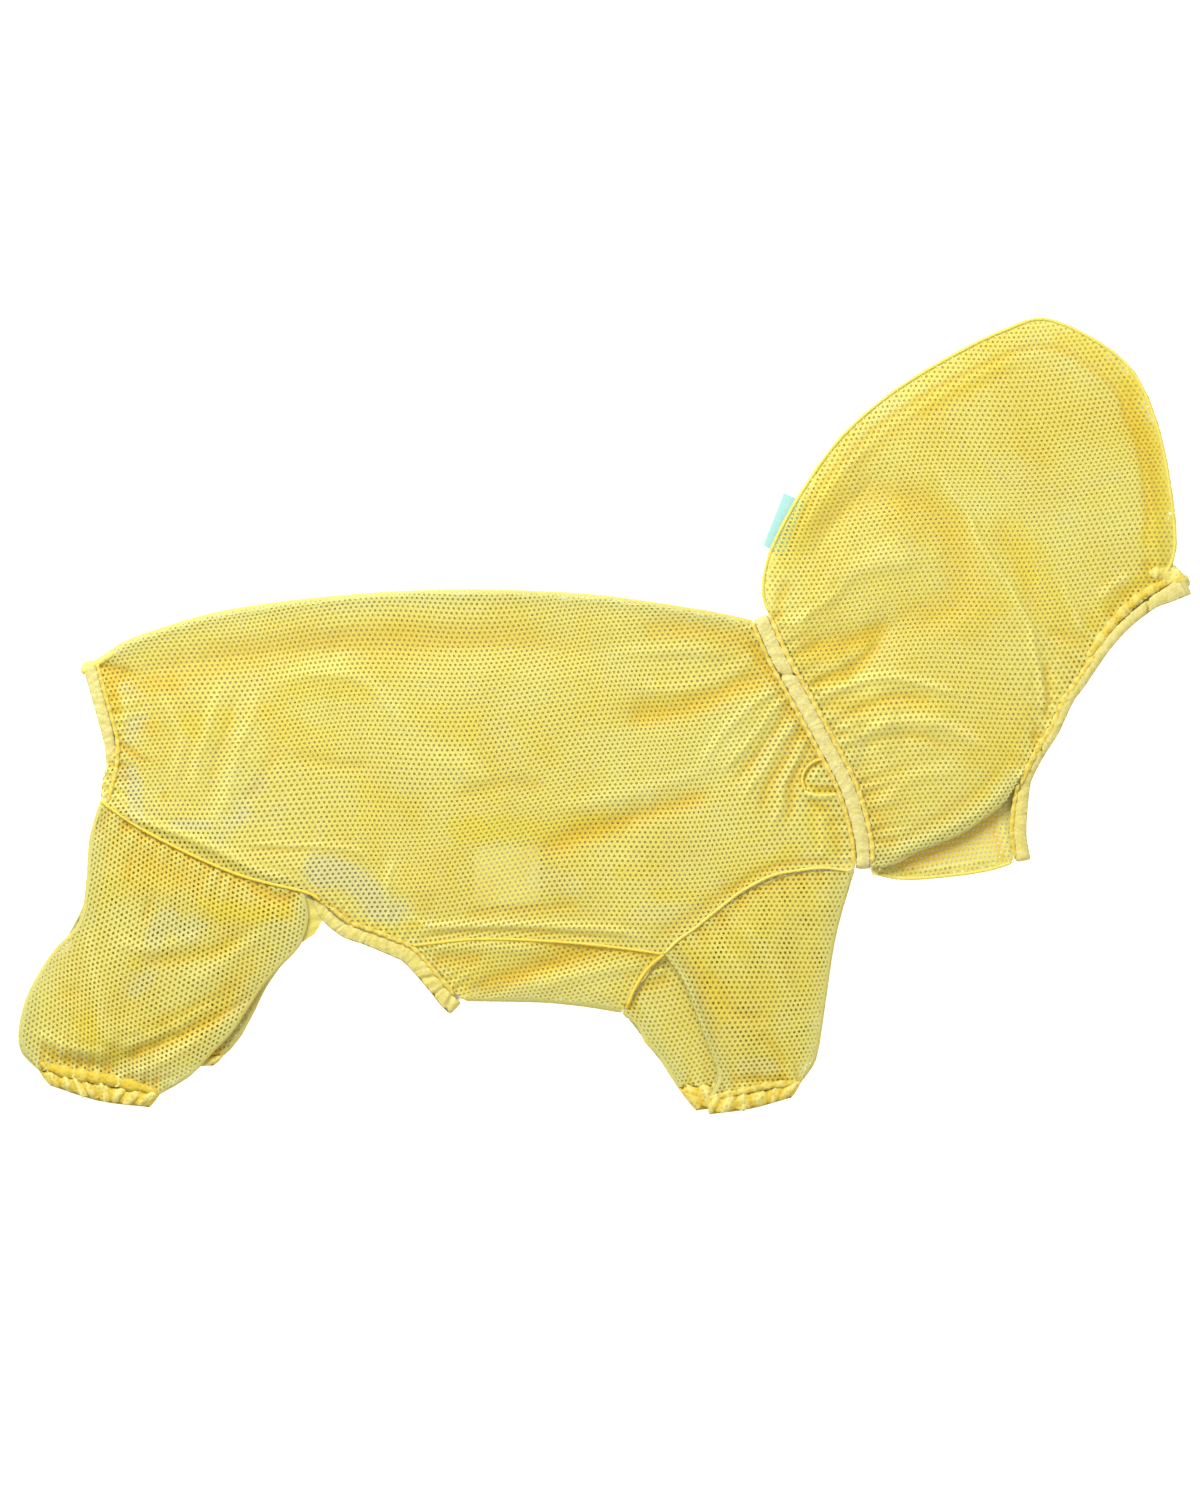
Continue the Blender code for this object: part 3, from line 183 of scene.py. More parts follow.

# Creases of each piece: half the width, the height, the painted shading and the line. Height is what is added
# to the solid's own folds, in millimetres before FOLD_DEPTH; the painted shading runs from -1, a painted
# golden shade deep in a trough, to 1, a painted highlight along a ridge.
CREASES = {
    "body": (
        # The trough below the back fold, and the corner under the tail.
        (7.0, -0.3, -0.55, ((-200, 19), (-180, 17.5), (-160, 23), (-130, 29), (-100, 32), (-60, 33),
                            (-30, 31), (-8, 28))),
        (2.2, -0.8, -1.0, ((-213, 20.5), (-206, 18.5), (-198, 17.5))),
        (3.0, -0.4, -1.0, ((-205, 0), (-205, 8), (-207, 17))),
        (5.0, -0.2, -0.6, ((-206, 17), (-192, 14), (-176, 13))),
        (1.8, 0.4, 0.5, ((-203, 12), (-200, 3), (-201, -4))),
        (1.6, -0.6, -0.9, ((-207, -9), (-200, -13), (-196, -18), (-190, -20))),
        (1.6, -0.4, -0.6, ((-206, -19), (-202, -23), (-200, -28))),
        (4.0, 0.0, -0.45, ((-190, -1), (-188, -10))),
        (1.8, -0.3, -0.6, ((-184, -31), (-182, -36))),
        # Folds that lean back over the rump and fan out over the flank.
        (2.4, 0.5, 0.35, ((-186, 10), (-178, -8), (-180, -30))),
        (2.4, 0.5, 0.4, ((-160, 14), (-168, -10), (-172, -32))),
        (2.0, -0.4, -0.3, ((-153, 12), (-158, -6), (-166, -36))),
        (2.6, 0.5, 0.4, ((-144, 14), (-150, -8), (-158, -30), (-163, -44))),
        (3.0, -0.3, -0.3, ((-136, -12), (-144, -26), (-152, -36))),
        (3.0, -0.4, -0.4, ((-132, -16), (-115, -20), (-96, -22))),
        (3.0, 0.5, 0.3, ((-140, 12), (-124, 18), (-106, 18), (-92, 8), (-80, -8))),
        (1.4, 0.4, 0.45, ((-148, -54), (-125, -55), (-104, -57), (-97, -62))),
        (1.4, -0.3, -0.5, ((-150, -56), (-136, -57), (-124, -57.5))),
        (1.3, 0.5, 0.5, ((-91, -88), (-90, -72), (-88, -60))),
        (1.3, 0.4, 0.4, ((-83, -84), (-72, -88), (-58, -86))),
        (10.0, 0.0, -0.3, ((-86, -63), (-72, -66), (-60, -66))),
        (5.0, 0.0, -0.35, ((-80, -76), (-72, -78))),
        # Long folds that run forward to the neck.
        (4.0, -0.6, -0.85, ((-30, -57), (-20, -55), (-8, -50), (6, -46), (20, -41), (36, -36), (50, -31))),
        (4.0, 0.5, 0.35, ((-20, -38), (4, -34), (24, -29), (40, -23), (54, -14), (62, -4))),
        (5.0, -0.6, -0.75, ((6, -1), (26, 1), (42, 6), (56, 13), (72, 20))),
        (3.0, 0.5, 0.3, ((14, 12), (34, 12), (52, 17), (66, 24))),
        (4.5, -0.5, -0.55, ((14, 35), (36, 36), (50, 34), (64, 29))),
        (2.4, -0.5, -0.8, ((60, 31), (64, 28), (69, 22))),
        (3.0, 0.4, 0.3, ((2, 26), (30, 28), (54, 26))),
        (3.5, -0.4, -0.35, ((-62, -34), (-40, -28), (-24, -32))),
        (4.0, 0.4, 0.35, ((-74, -18), (-58, -20), (-46, -28))),
        # The shoulder, gathered to the neck band.
        (1.6, 0.5, 0.5, ((80, 11), (70, 0), (60, -12), (48, -24))),
        (1.6, -0.5, -0.5, ((82, 6), (73, -5), (64, -17), (54, -29))),
        (1.6, 0.5, 0.5, ((84, 2), (76, -9), (68, -21), (59, -36))),
        (1.8, -0.5, -0.7, ((86, -3), (79, -14), (72, -26), (65, -41))),
        (1.6, 0.5, 0.5, ((86, -10), (80, -20), (75, -32), (70, -48))),
        (1.8, -0.6, -0.8, ((87, -14), (81, -25), (78, -36), (77, -46))),
        (2.0, 0.5, 0.4, ((74, 14), (62, 4), (50, -8), (40, -20))),
        (2.4, -0.7, -0.9, ((63, 33), (70, 20), (78, 5), (86, -9), (93, -23))),
        (1.4, -0.5, -0.9, ((92, -18), (87, -21), (84, -27), (85, -31))),
        (1.3, 0.6, 0.6, ((93, -20.5), (89, -23), (87, -27))),
        (1.7, -0.9, -1.0, ((87.5, -30.5), (92, -31.3), (98, -31))),
        (1.2, 0.8, 0.8, ((83.8, -30), (86, -33), (91, -34), (99, -33))),
        (1.5, -0.4, -0.8, ((83.5, -35), (89, -38), (96, -41))),
        (1.8, -0.4, -0.5, ((97, -42), (99, -52), (100, -60))),
        (1.8, 0.4, 0.4, ((92, -42), (93, -52), (92, -59))),
        (3.5, -0.4, -0.65, ((22, -94), (33, -87), (46, -78), (56, -68))),
        (1.6, -0.4, -0.7, ((50, -76), (60, -68), (72, -62.5), (84, -60.5), (100, -60))),
        # Along the leg seam and the belly.
        (2.2, 0.9, 0.55, ((-207, -36), (-190, -45), (-172, -52.5), (-152, -61.5), (-140, -67), (-128, -69))),
        (1.6, -0.4, -1.0, ((-128, -74), (-118, -77), (-112, -81), (-105, -86))),
        (2.0, 0.8, 0.5, ((-80, -90), (-60, -89), (-30, -88.5), (0, -89.5), (18, -94))),
        (1.2, -0.3, -0.6, ((-80, -94), (-52, -91.5), (-20, -91.5), (6, -94.5))),
        (2.0, -0.3, -0.5, ((-60, -83), (-40, -82), (-8, -80))),
    ),
    "belly_panel": (
        (2.4, -0.3, -1.0, ((-26, -95), (-6, -96.5), (12, -98.5), (26, -101))),
        (1.6, 0.4, 0.5, ((-72, -98.5), (-48, -97), (-26, -98))),
        (2.6, -0.3, -0.75, ((-72, -101.5), (-62, -101.5), (-50, -102))),
        (3.6, -0.5, -1.0, ((-59, -117.5), (-48, -112), (-38, -108.5), (-26, -104.5), (-12, -101), (2, -99))),
        (1.6, -0.3, -0.7, ((-54, -119), (-40, -113), (-28, -107), (-14, -103))),
        (3.0, 0.6, 0.5, ((-30, -114), (-14, -109), (4, -105), (18, -104))),
        (3.0, 0.0, 0.4, ((-36, -117.5), (-12, -116.5), (6, -114))),
    ),
    "leg_right": (
        (2.2, -0.7, -1.0, ((-210, -41), (-203, -44), (-195, -49), (-180, -55.5), (-165, -62), (-150, -69),
                           (-140, -74.5), (-126, -76))),
        (3.0, -0.4, -0.8, ((-211, -42), (-209, -51))),
        (5.0, -0.3, -0.6, ((-196, -58), (-180, -66), (-166, -70))),
        (1.8, -0.4, -0.6, ((-198, -60), (-199, -71))),
        (1.8, -0.4, -0.6, ((-191, -76), (-194, -86))),
        (3.0, -0.4, -0.6, ((-143, -75), (-131, -77))),
        (3.0, 0.7, 0.4, ((-217, -88), (-214, -108), (-210, -126), (-206.5, -143))),
        (4.0, -0.3, -0.35, ((-229, -117), (-219, -115))),
        (3.0, 0.5, 0.35, ((-205, -94), (-190, -98), (-168, -92))),
        (3.0, -0.4, -0.4, ((-195, -105), (-178, -103), (-160, -98), (-150, -90))),
        (3.0, 0.5, 0.4, ((-176, -112), (-162, -106), (-152, -98), (-142, -92))),
        (4.0, -0.3, -0.4, ((-192, -131), (-176, -125), (-160, -116), (-150, -108))),
        (2.2, -0.6, -0.9, ((-207, -147), (-196, -142.5), (-184, -138), (-172, -132), (-160, -126),
                           (-150, -119), (-145, -113))),
        (2.2, 0.6, 0.4, ((-204, -141), (-192, -136), (-178, -129), (-162, -120))),
        (1.8, -0.4, -0.9, ((-236, -138), (-230, -143.5), (-220, -146.5), (-207, -147.5))),
        (2.6, 0.7, 0.4, ((-238, -133), (-228, -138), (-216, -141.5), (-208, -142))),
        (1.8, 0.5, 0.5, ((-204, -150), (-192, -148), (-180, -143), (-168, -136))),
        (1.6, -0.4, -0.6, ((-200, -155), (-188, -153), (-178, -150))),
    ),
    "leg_left": (
        (3.2, 0.0, -1.0, ((-166, -144), (-156, -137), (-150, -127), (-144, -114), (-140, -110))),
    ),
    "sleeve_right": (
        (1.8, 0.9, 0.8, ((24, -100), (29, -104), (35.5, -113), (39.5, -124), (43, -137), (48, -150))),
        (2.6, -0.4, -0.6, ((32, -99), (40, -110), (44, -124), (48, -140))),
        (4.0, -0.4, -0.6, ((36, -94), (50, -86), (62, -74), (78, -68), (98, -67))),
        (3.0, -0.4, -0.45, ((44, -104), (50, -118), (58, -126), (70, -128))),
        (3.0, 0.5, 0.35, ((60, -86), (68, -100), (76, -112), (84, -128))),
        (3.0, 0.4, 0.3, ((44, -96), (54, -102), (62, -116))),
        (1.8, -0.6, -0.7, ((54, -153), (66, -152), (80, -155))),
        (2.4, -0.4, -0.5, ((66, -134), (74, -140), (76, -148))),
    ),
    "sleeve_left": (
        (2.0, -0.2, -0.6, ((31, -109.5), (22, -112.5), (15, -115.5), (11.5, -121), (14, -127))),
        (2.2, 0.7, 0.8, ((27, -104.5), (20, -107.5), (13, -111))),
        (2.2, -0.3, -0.5, ((16, -134), (24, -146), (32, -156))),
        (1.6, -0.4, -0.9, ((35, -153), (39, -157), (44, -161))),
    ),
    "hood_right": (
        # A line inside the crown, where its seam allowance ends, and folds from the neck band.
        (1.5, -0.4, -0.6, ((71, 56), (76, 70), (86, 88), (101, 108), (122, 126), (148, 142), (168, 151),
                           (184, 155), (200, 151), (214, 139), (223, 120), (228, 95), (229.5, 74),
                           (228, 62))),
        (4.0, -0.3, -0.35, ((98, 96), (118, 116), (140, 130), (160, 141), (178, 146))),
        (3.4, -0.3, -0.55, ((218, 142), (224, 128), (229, 110), (232, 94), (231, 78))),
        (6.5, -0.7, -0.5, ((84, 66), (92, 78), (104, 89), (120, 93), (136, 88), (146, 73), (152, 56),
                           (142, 43), (120, 39))),
        (4.0, -0.6, -0.8, ((80, 28), (94, 30), (108, 33), (122, 39))),
        (4.5, 0.8, 0.5, ((90, 44), (100, 58), (114, 66), (132, 66))),
        (1.8, 0.6, 0.6, ((77, 35), (88, 43), (98, 54))),
        (2.4, -0.5, -0.8, ((73, 37), (74, 48), (79, 58))),
        (1.8, -0.4, -0.5, ((86, 40), (94, 50), (100, 60))),
        (3.0, -0.7, -0.85, ((86, 14), (98, 16), (108, 22), (118, 33))),
        (2.0, 0.8, 0.7, ((87, 10.5), (100, 12), (118, 17), (136, 14), (152, 8))),
        (3.0, -0.6, -0.6, ((93, 3), (106, 2), (122, 8), (140, 5))),
        (1.5, -0.5, -0.7, ((95, -5), (104, -9), (112, -4))),
        (2.4, 0.7, 0.6, ((100, -13), (112, -6), (128, -2.5), (148, -5), (164, -14))),
        (2.0, -0.5, -0.45, ((106, -15), (120, -9), (136, -9), (148, -14))),
        (3.0, -0.4, -0.5, ((108, -22), (113, -36), (119, -50))),
        (2.0, -0.4, -0.6, ((113, -48), (119, -53), (124, -52))),
        (3.0, 0.5, 0.4, ((116, -40), (130, -26), (150, -22))),
        (1.6, 0.8, 0.6, ((140, 108), (148, 92), (158, 75), (168, 58), (176, 44), (182, 29), (184, 10),
                         (184, -3))),
        (3.5, -0.3, -0.3, ((166, 84), (174, 66), (180, 50), (186, 36))),
        (2.4, -0.4, -0.5, ((186, 36), (195, 34), (205, 31))),
        (1.6, 0.4, 0.4, ((194, 56), (198, 44), (202, 36))),
        (1.6, -0.5, -0.7, ((186, 22), (186.5, 10), (186, -1))),
        (1.8, -0.4, -0.5, ((203, 22), (198, 8), (193, -1))),
        (1.5, -0.8, -1.0, ((182, -9), (186, -8.5), (192, -9))),
        (1.4, -0.5, -0.9, ((182, -5), (181.5, -10), (183.5, -15))),
        (2.4, -0.5, -0.8, ((227, 66), (230, 60), (229, 54))),
        (2.4, -0.5, -0.6, ((212, 41), (218, 49), (226, 55))),
        (2.0, 0.5, 0.5, ((208, 47), (214, 54), (222, 60))),
        (2.4, 0.6, 0.55, ((117, -60), (134, -53), (150, -46), (163, -37), (175, -24))),
        (2.4, -0.3, -0.35, ((124, -52), (142, -42), (158, -31), (170, -18))),
    ),
    "hood_left": (
        (5.0, 0.0, -1.0, ((118, -64), (134, -59), (150, -51), (160, -45), (170, -36))),
        (1.6, 0.3, 0.5, ((168, -44), (169, -52), (171, -60))),
        (1.4, -0.2, -0.8, ((165, -44), (165.5, -52), (167, -60))),
        (1.4, 0.2, 0.5, ((132, -64), (148, -62), (160, -61))),
    ),
}

# Patches between the creases: half the width, the paleness and the line. Paleness runs from -1, golden
# where the cloth is doubled, to 1, pale where only the near layer is there.
PATCHES = {
    "body": (
        (3.0, 0.8, ((-200, 13), (-196, 11))),
        (3.6, 0.9, ((-199, -8), (-194, -1))),
        (3.6, 1.0, ((-199, -24), (-197, -33), (-195, -40))),
        (3.2, 0.9, ((-179, -45), (-167, -46))),
        (4.0, 0.7, ((-162, -52), (-155, -42), (-150, -32), (-144, -27))),
        (4.5, 0.45, ((-150, -43), (-134, -39))),
        (6.5, 1.0, ((-120, -65), (-109, -66), (-98, -73), (-94, -81))),
        (2.6, 0.9, ((-127, -77.5), (-119, -77.5))),
        (3.2, 0.7, ((-88, -87), (-84, -79))),
        (5.0, 0.35, ((-148, 14), (-140, 10))),
        (5.0, 0.45, ((-92, -26), (-76, -27))),
        (6.0, 0.4, ((-44, -6), (-38, -18), (-36, -30))),
        (6.0, 0.4, ((4, 22), (14, 14))),
        (5.0, 0.3, ((-20, -8), (-4, -12), (10, -10))),
        (4.0, 0.4, ((-8, -35), (16, -31), (34, -26))),
        (6.0, 0.6, ((-27, -66), (-14, -71))),
        (4.0, 0.5, ((14, -84), (30, -81))),
        (6.0, 0.35, ((20, -62), (44, -54), (50, -44))),
        (3.0, 0.5, ((80, -4), (70, -13), (66, -20))),
        (3.0, 0.4, ((70, -56), (75, -48))),
        (6.0, 0.35, ((-54, 12), (-36, 8), (-28, 6))),
        (5.0, -0.6, ((-212, 18), (-207, 8), (-204, -6))),
        (5.5, -0.5, ((-133, -7), (-115, -12))),
        (6.0, -0.6, ((-173, -5), (-160, -1))),
        (5.0, -0.5, ((-146, 0), (-136, 8), (-118, 14), (-100, 10))),
        (5.0, -0.4, ((-96, -30), (-100, -44))),
        (5.0, -0.8, ((-60, -48), (-40, -47), (-18, -49), (4, -45))),
        (7.0, -0.4, ((-78, 2), (-58, -4))),
        (4.0, -0.6, ((8, -65), (22, -63))),
        (4.0, -0.5, ((22, -75), (40, -75))),
        (4.0, -0.6, ((58, -70), (68, -62), (80, -56))),
        (6.0, -0.7, ((90, -42), (94, -52))),
        (5.0, -0.5, ((20, 3), (44, 8), (60, 15))),
        (1.7, -1.0, ((87, -30), (92, -30.6), (97, -30.6))),
        (3.0, -0.8, ((-104, -86), (-90, -90), (-78, -88))),
        (2.4, -0.5, ((-205, -40), (-180, -50), (-150, -64))),
    ),
    "leg_right": (
        (6.0, -0.5, ((-212, -75), (-200, -69), (-184, -68))),
        (4.5, -1.0, ((-166, -80), (-150, -82), (-134, -81))),
        (3.6, -0.6, ((-196, -104), (-180, -102), (-158, -98))),
        (5.5, -0.9, ((-215, -128), (-212, -139))),
        (5.0, -0.6, ((-190, -132), (-174, -125), (-158, -116))),
        (2.4, -0.8, ((-206, -143), (-180, -136), (-156, -122))),
        (4.6, 0.8, ((-188, -94), (-183, -84), (-174, -91), (-168, -84))),
        (3.6, 0.75, ((-197, -115), (-191, -110), (-189, -104))),
        (5.0, 0.5, ((-138, -90), (-132, -94))),
        (5.0, 0.35, ((-232, -112), (-226, -104))),
        (4.0, 0.5, ((-198, -147), (-186, -150), (-176, -152))),
    ),
    "sleeve_right": (
        (34.0, -0.3, ((70, -90), (66, -150))),
        (6.0, -0.4, ((44, -98), (56, -96), (70, -84), (84, -76))),
        (6.0, -0.3, ((60, -112), (72, -120))),
        (3.0, 0.5, ((43, -122), (50, -132), (56, -136))),
        (4.0, 0.9, ((60, -146), (71, -147))),
        (2.6, 0.5, ((74, -121), (76, -130))),
        (2.4, 0.6, ((92, -75), (101, -75))),
        (2.4, -0.9, ((70, -152), (75, -152))),
        (5.0, -0.6, ((30, -98), (38, -104), (44, -114), (47, -128))),
    ),
    "sleeve_left": (
        (3.4, -1.0, ((24, -107), (14, -112), (11, -119), (14, -128))),
    ),
    "belly_panel": (
        (40.0, -0.4, ((-30, -108), (0, -106))),
        (3.0, 0.4, ((-36, -116), (-14, -112), (6, -108))),
    ),
    "hood_right": (
        (9.0, 0.45, ((170, 104), (182, 98), (192, 88))),
        (5.0, -0.6, ((238, 96), (239, 80), (235, 66), (228, 58))),
        (5.0, 0.4, ((112, 66), (128, 68))),
        (5.0, 0.35, ((182, 152), (198, 148), (208, 138))),
        (3.0, 0.5, ((191, 22), (196, 16))),
        (5.0, 0.35, ((126, -16), (144, -22), (150, -34))),
        (7.0, 0.3, ((200, 80), (214, 74), (218, 62))),
        (4.5, -0.9, ((220, 140), (226, 122), (230, 104), (232, 92), (231, 76))),
        (4.5, -0.5, ((78, 66), (86, 82), (98, 98))),
        (4.5, -0.6, ((134, 130), (150, 138), (164, 146))),
        (3.5, -0.6, ((192, 158), (202, 155), (212, 148))),
        (6.0, -0.5, ((174, 76), (180, 64), (188, 50), (192, 40))),
        (4.0, -0.7, ((84, 26), (98, 28), (112, 34))),
        (4.0, -0.7, ((88, 14), (100, 17), (110, 24))),
        (4.0, -0.4, ((100, 4), (124, 6), (146, 2))),
        (5.0, -0.4, ((160, 44), (172, 50), (176, 62))),
        (3.5, -0.7, ((206, 40), (214, 48), (224, 55))),
        (3.5, -0.4, ((172, -8), (170, -20), (160, -32))),
    ),
}

# Elastic casings. Each row is a place on the middle line, half the width, and the heights of the far and
# the near run. A notch is a share of the length, a width and a depth. Pale is how pale each end is.
Casing = namedtuple("Casing", "node name wall pitch height pale notches seed rows")
CASINGS = (
    Casing("neck_band", "neck_casing", 1.2, 6.0, 0.35, (1.0, 1.0), ((0.235, 0.9, 1.0),), 41,
           ((65.9, 42.0, 3.2, 0.8, 4.8), (74.1, 23.7, 3.2, 0.8, 4.8), (82.3, 9.0, 3.2, 0.8, 4.8),
           (91.6, -8.2, 3.2, 0.8, 4.8), (102.9, -30.5, 3.2, 0.8, 4.8), (108.6, -51.5, 3.2, 0.8, 4.8),
           (109.2, -64.1, 3.0, 0.8, 4.8))),
    Casing("face_band", "face_casing", 1.1, 6.0, 0.4, (0.6, 0.1), ((0.13, 0.8, 1.1), (0.66, 0.8, 1.0)), 42,
           ((245.4, 55.4, 4.4, 0.8, 3.6), (238.1, 51.5, 3.6, 0.8, 3.8), (231.0, 47.8, 2.6, 0.8, 4.0),
           (220.3, 39.3, 2.3, 0.8, 4.0), (211.1, 29.2, 2.3, 0.8, 4.0), (201.0, 14.5, 2.3, 0.8, 4.0),
           (195.5, 6.9, 2.3, 0.8, 4.0), (189.6, -5.7, 2.3, 0.8, 4.0), (184.2, -14.1, 2.3, 0.8, 4.0),
           (178.5, -24.5, 2.4, 0.8, 3.6), (176.4, -31.5, 2.8, 0.8, 3.2), (175.0, -46.0, 3.0, 0.8, 3.2),
           (175.3, -53.0, 3.0, 0.8, 3.2), (176.6, -60.8, 3.2, 0.8, 3.2))),
    Casing("rear_band", "rear_casing", 0.8, 4.6, 0.5, (0.9, 0.0), ((0.925, 0.8, 1.0), (0.955, 0.8, 1.1),
           (0.98, 0.7, 1.0)), 43, ((-216.0, 22.6, 2.7, 0.5, 4.2), (-213.4, 12.4, 2.7, 0.5, 4.2),
           (-209.2, -2.7, 2.7, 0.9, 4.1), (-207.1, -12.0, 2.4, 2.2, 3.6), (-206.2, -22.5, 2.2, 2.0, 3.6),
           (-203.0, -33.5, 2.2, 2.0, 3.6), (-192.4, -42.2, 2.2, 2.0, 3.6), (-173.5, -51.0, 2.2, 2.0, 3.6),
           (-150.4, -60.7, 2.2, 2.0, 3.6), (-131.5, -66.2, 2.2, 2.0, 3.6), (-121.4, -72.9, 2.2, 2.0, 3.6),
           (-117.2, -82.6, 2.4, 2.2, 3.6), (-108.4, -89.3, 3.4, 1.3, 3.6), (-99.5, -92.6, 3.4, 0.5, 3.8),
           (-90.7, -96.0, 3.6, 0.5, 3.8), (-82.3, -99.8, 3.6, 0.5, 3.8), (-76.9, -105.2, 3.6, 0.5, 3.8),
           (-70.1, -113.2, 3.6, 0.5, 3.8), (-65.1, -119.5, 3.6, 0.5, 3.8), (-61.7, -122.8, 3.3, 0.5, 3.8))),
)

# Cuffs: the edge sewn to the leg, the free edge, how far they bow, and the heights of the two runs.
Cuff = namedtuple("Cuff", "node name sewn free bow far_z near_z pitch height seed")
CUFFS = (
    Cuff("cuff_hind_right", "hind_cuff_right", ((-236.9, -148.8), (-186.0, -158.8)),
         ((-232.3, -155.0), (-190.3, -164.2)), -1.9, 0.6, 3.3, 6.4, 1.6, 51),
    Cuff("cuff_hind_left", "hind_cuff_left", ((-205.8, -140.6), (-159.3, -142.6)),
         ((-202.0, -146.2), (-163.4, -146.6)), -1.0, 0.6, 2.3, 6.5, 0.25, 52),
    Cuff("cuff_front_right", "front_cuff_right", ((43.9, -160.6), (83.2, -153.9)),
         ((44.1, -167.2), (79.4, -160.0)), -1.2, 4.0, 6.0, 6.2, 0.9, 53),
    Cuff("cuff_front_left", "front_cuff_left", ((31.5, -156.1), (79.8, -150.8)),
         ((38.9, -165.6), (76.9, -156.9)), -1.2, 0.6, 2.3, 7.0, 0.25, 54),
)

# Folds where the net closes up: the piece and its fold.
TURNS = (("body", "spine"), ("belly_panel", "belly"), ("leg_right", "leg_rear"), ("leg_right", "leg_front"),
         ("leg_left", "far_leg_front"), ("sleeve_right", "sleeve_rear"), ("sleeve_right", "sleeve_front"),
         ("sleeve_left", "far_sleeve_rear"), ("hood_right", "throat"))

# Sewn seams: a rolled line of overlocked cloth on the solids that it joins, shifted to the left of its
# line where it runs beside a band. Lobes is the length of a bunch, or 0 for a plain roll.
# Each seam's shading value is painted light: below 0 a painted golden shade, above 0 a painted highlight.
Welt = namedtuple("Welt", "name line shift radius lobes tint nodes sunk")
WELTS = (
    Welt("armhole_seam", SEAMS["armhole"][:-1] + ((104.2, -64.9),), 0.0, 0.68, 0, -0.1,
         ("sleeve_right", "body"), 0.4),
    Welt("leg_seam", SEAMS["leg"] + ((-118.6, -77.4),), 0.0, 0.65, 0, -0.9, ("leg_right", "body"), 0.45),
    Welt("belly_seam", SEAMS["belly_seam"], 0.0, 0.62, 0, -0.8, ("belly_panel", "body"), 0.4),
    Welt("crown_seam", SEAMS["crown"], -0.9, 0.65, 0, -0.2, ("hood_right",), 0.3),
    Welt("neck_seam_front", SEAMS["neck"], 4.0, 1.1, 4.5, -0.2, ("hood_right",), 0.35),
    Welt("neck_seam_back", SEAMS["neck"], -4.0, 1.0, 5.0, -0.3, ("body",), 0.35),
    Welt("face_seam", ((206.0, 26.8), (198.9, 16.1), (193.4, 8.3), (187.4, -4.5), (182.0, -12.7),
         (176.6, -23.6), (174.6, -28.6)), 0.9, 1.3, 5.0, -0.2, ("hood_right",), 0.3),
    Welt("face_gather", ((202.0, 24.2), (209.5, 34.5), (216.0, 42.5), (224.0, 50.0), (232.0, 55.0),
         (239.0, 58.0), (242.0, 58.6)), -0.8, 2.1, 8.0, -0.3, ("hood_right", "face_band"), 0.9),
    Welt("corner_puff", ((229.0, 60.5), (238.0, 59.6), (246.6, 55.2)), 0.0, 3.8, 9.0, 0.4,
         ("hood_right", "face_band"), 1.2),
    Welt("throat_seam", ((174.9, -27.6), (173.4, -33.0), (171.8, -46.0), (172.2, -53.0), (173.2, -60.3)), 0.0,
         1.1, 5.0, -0.3, ("hood_left", "hood_right", "face_band"), 0.6),
    Welt("tail_seam", SEAMS["tail"], 3.3, 0.9, 4.0, -0.4, ("body",), 0.3),
    Welt("tail_corner", ((-218.0, 17.5), (-217.2, 21.2), (-212.5, 22.6), (-205.5, 27.0)), 0.0, 1.6, 0, 0.3,
         ("body", "rear_band"), 0.8),
    Welt("throat_hem", ((112.6, -65.4), (126.0, -68.0), (147.0, -66.6), (161.3, -64.4), (171.6, -61.4)), 0.0,
         0.7, 0, 0.0, ("hood_left",), 0.3),
    Welt("slit_rim", ((94.0, -17.6), (88.8, -18.8), (84.9, -22.5), (83.7, -27.0), (85.2, -31.2)), 0.0, 0.6, 0,
         -0.7, ("body",), 0.25),
    Welt("slit_lip", ((84.4, -31.4), (90.0, -33.2), (98.3, -32.8)), 0.0, 0.65, 0, 0.1, ("body",), 0.25),
    Welt("flank_seam", SEAMS["flank"], 3.5, 1.0, 4.5, -0.3, ("body", "rear_band", "belly_panel"), 0.3),
    Welt("hind_gather", ((-237.5, -145.2), (-230.0, -148.0), (-220.0, -150.4), (-208.0, -152.4),
         (-196.0, -155.4), (-187.0, -157.6)), 0.0, 2.6, 7.0, -0.9, ("leg_right", "cuff_hind_right"), 0.8),
    Welt("front_gather", ((44.0, -160.6), (56.0, -158.0), (70.0, -155.0), (83.0, -153.6)), 0.0, 1.5, 6.0,
         -0.1, ("sleeve_right", "cuff_front_right"), 0.5),
    Welt("far_front_gather", ((32.4, -157.0), (37.5, -158.4), (43.0, -160.4)), 0.0, 1.3, 4.0, -0.6,
         ("sleeve_left", "cuff_front_left"), 0.4),
    Welt("underarm_seam", ((25.6, -99.8), (19.0, -105.7), (13.4, -114.0), (9.6, -123.0)), 0.0, 0.75, 0, -0.9,
         ("sleeve_left", "belly_panel"), 0.4),
)

LEG_CORNER = ((-130.5, -73.6), (-135.5, -100.8), (-121.2, -91.4), (-114.6, -80.0))
SIDE_LABEL = ((76.0, 93.9), (67.2, 71.8), (76.0, 67.8), (84.9, 90.1))
CARE_LABEL = ((-54.2, -55.2), (-54.6, -79.6), (-26.6, -79.0), (-26.2, -54.6))


# Drawing helpers


def place(points, z=0.0):
    """Drawn millimetres to metres in the model's frame."""
    points = np.atleast_2d(np.array(points, float))
    heights = np.broadcast_to(np.array(z, float), (len(points),))
    return np.column_stack([points - SHEET, heights]) * MM


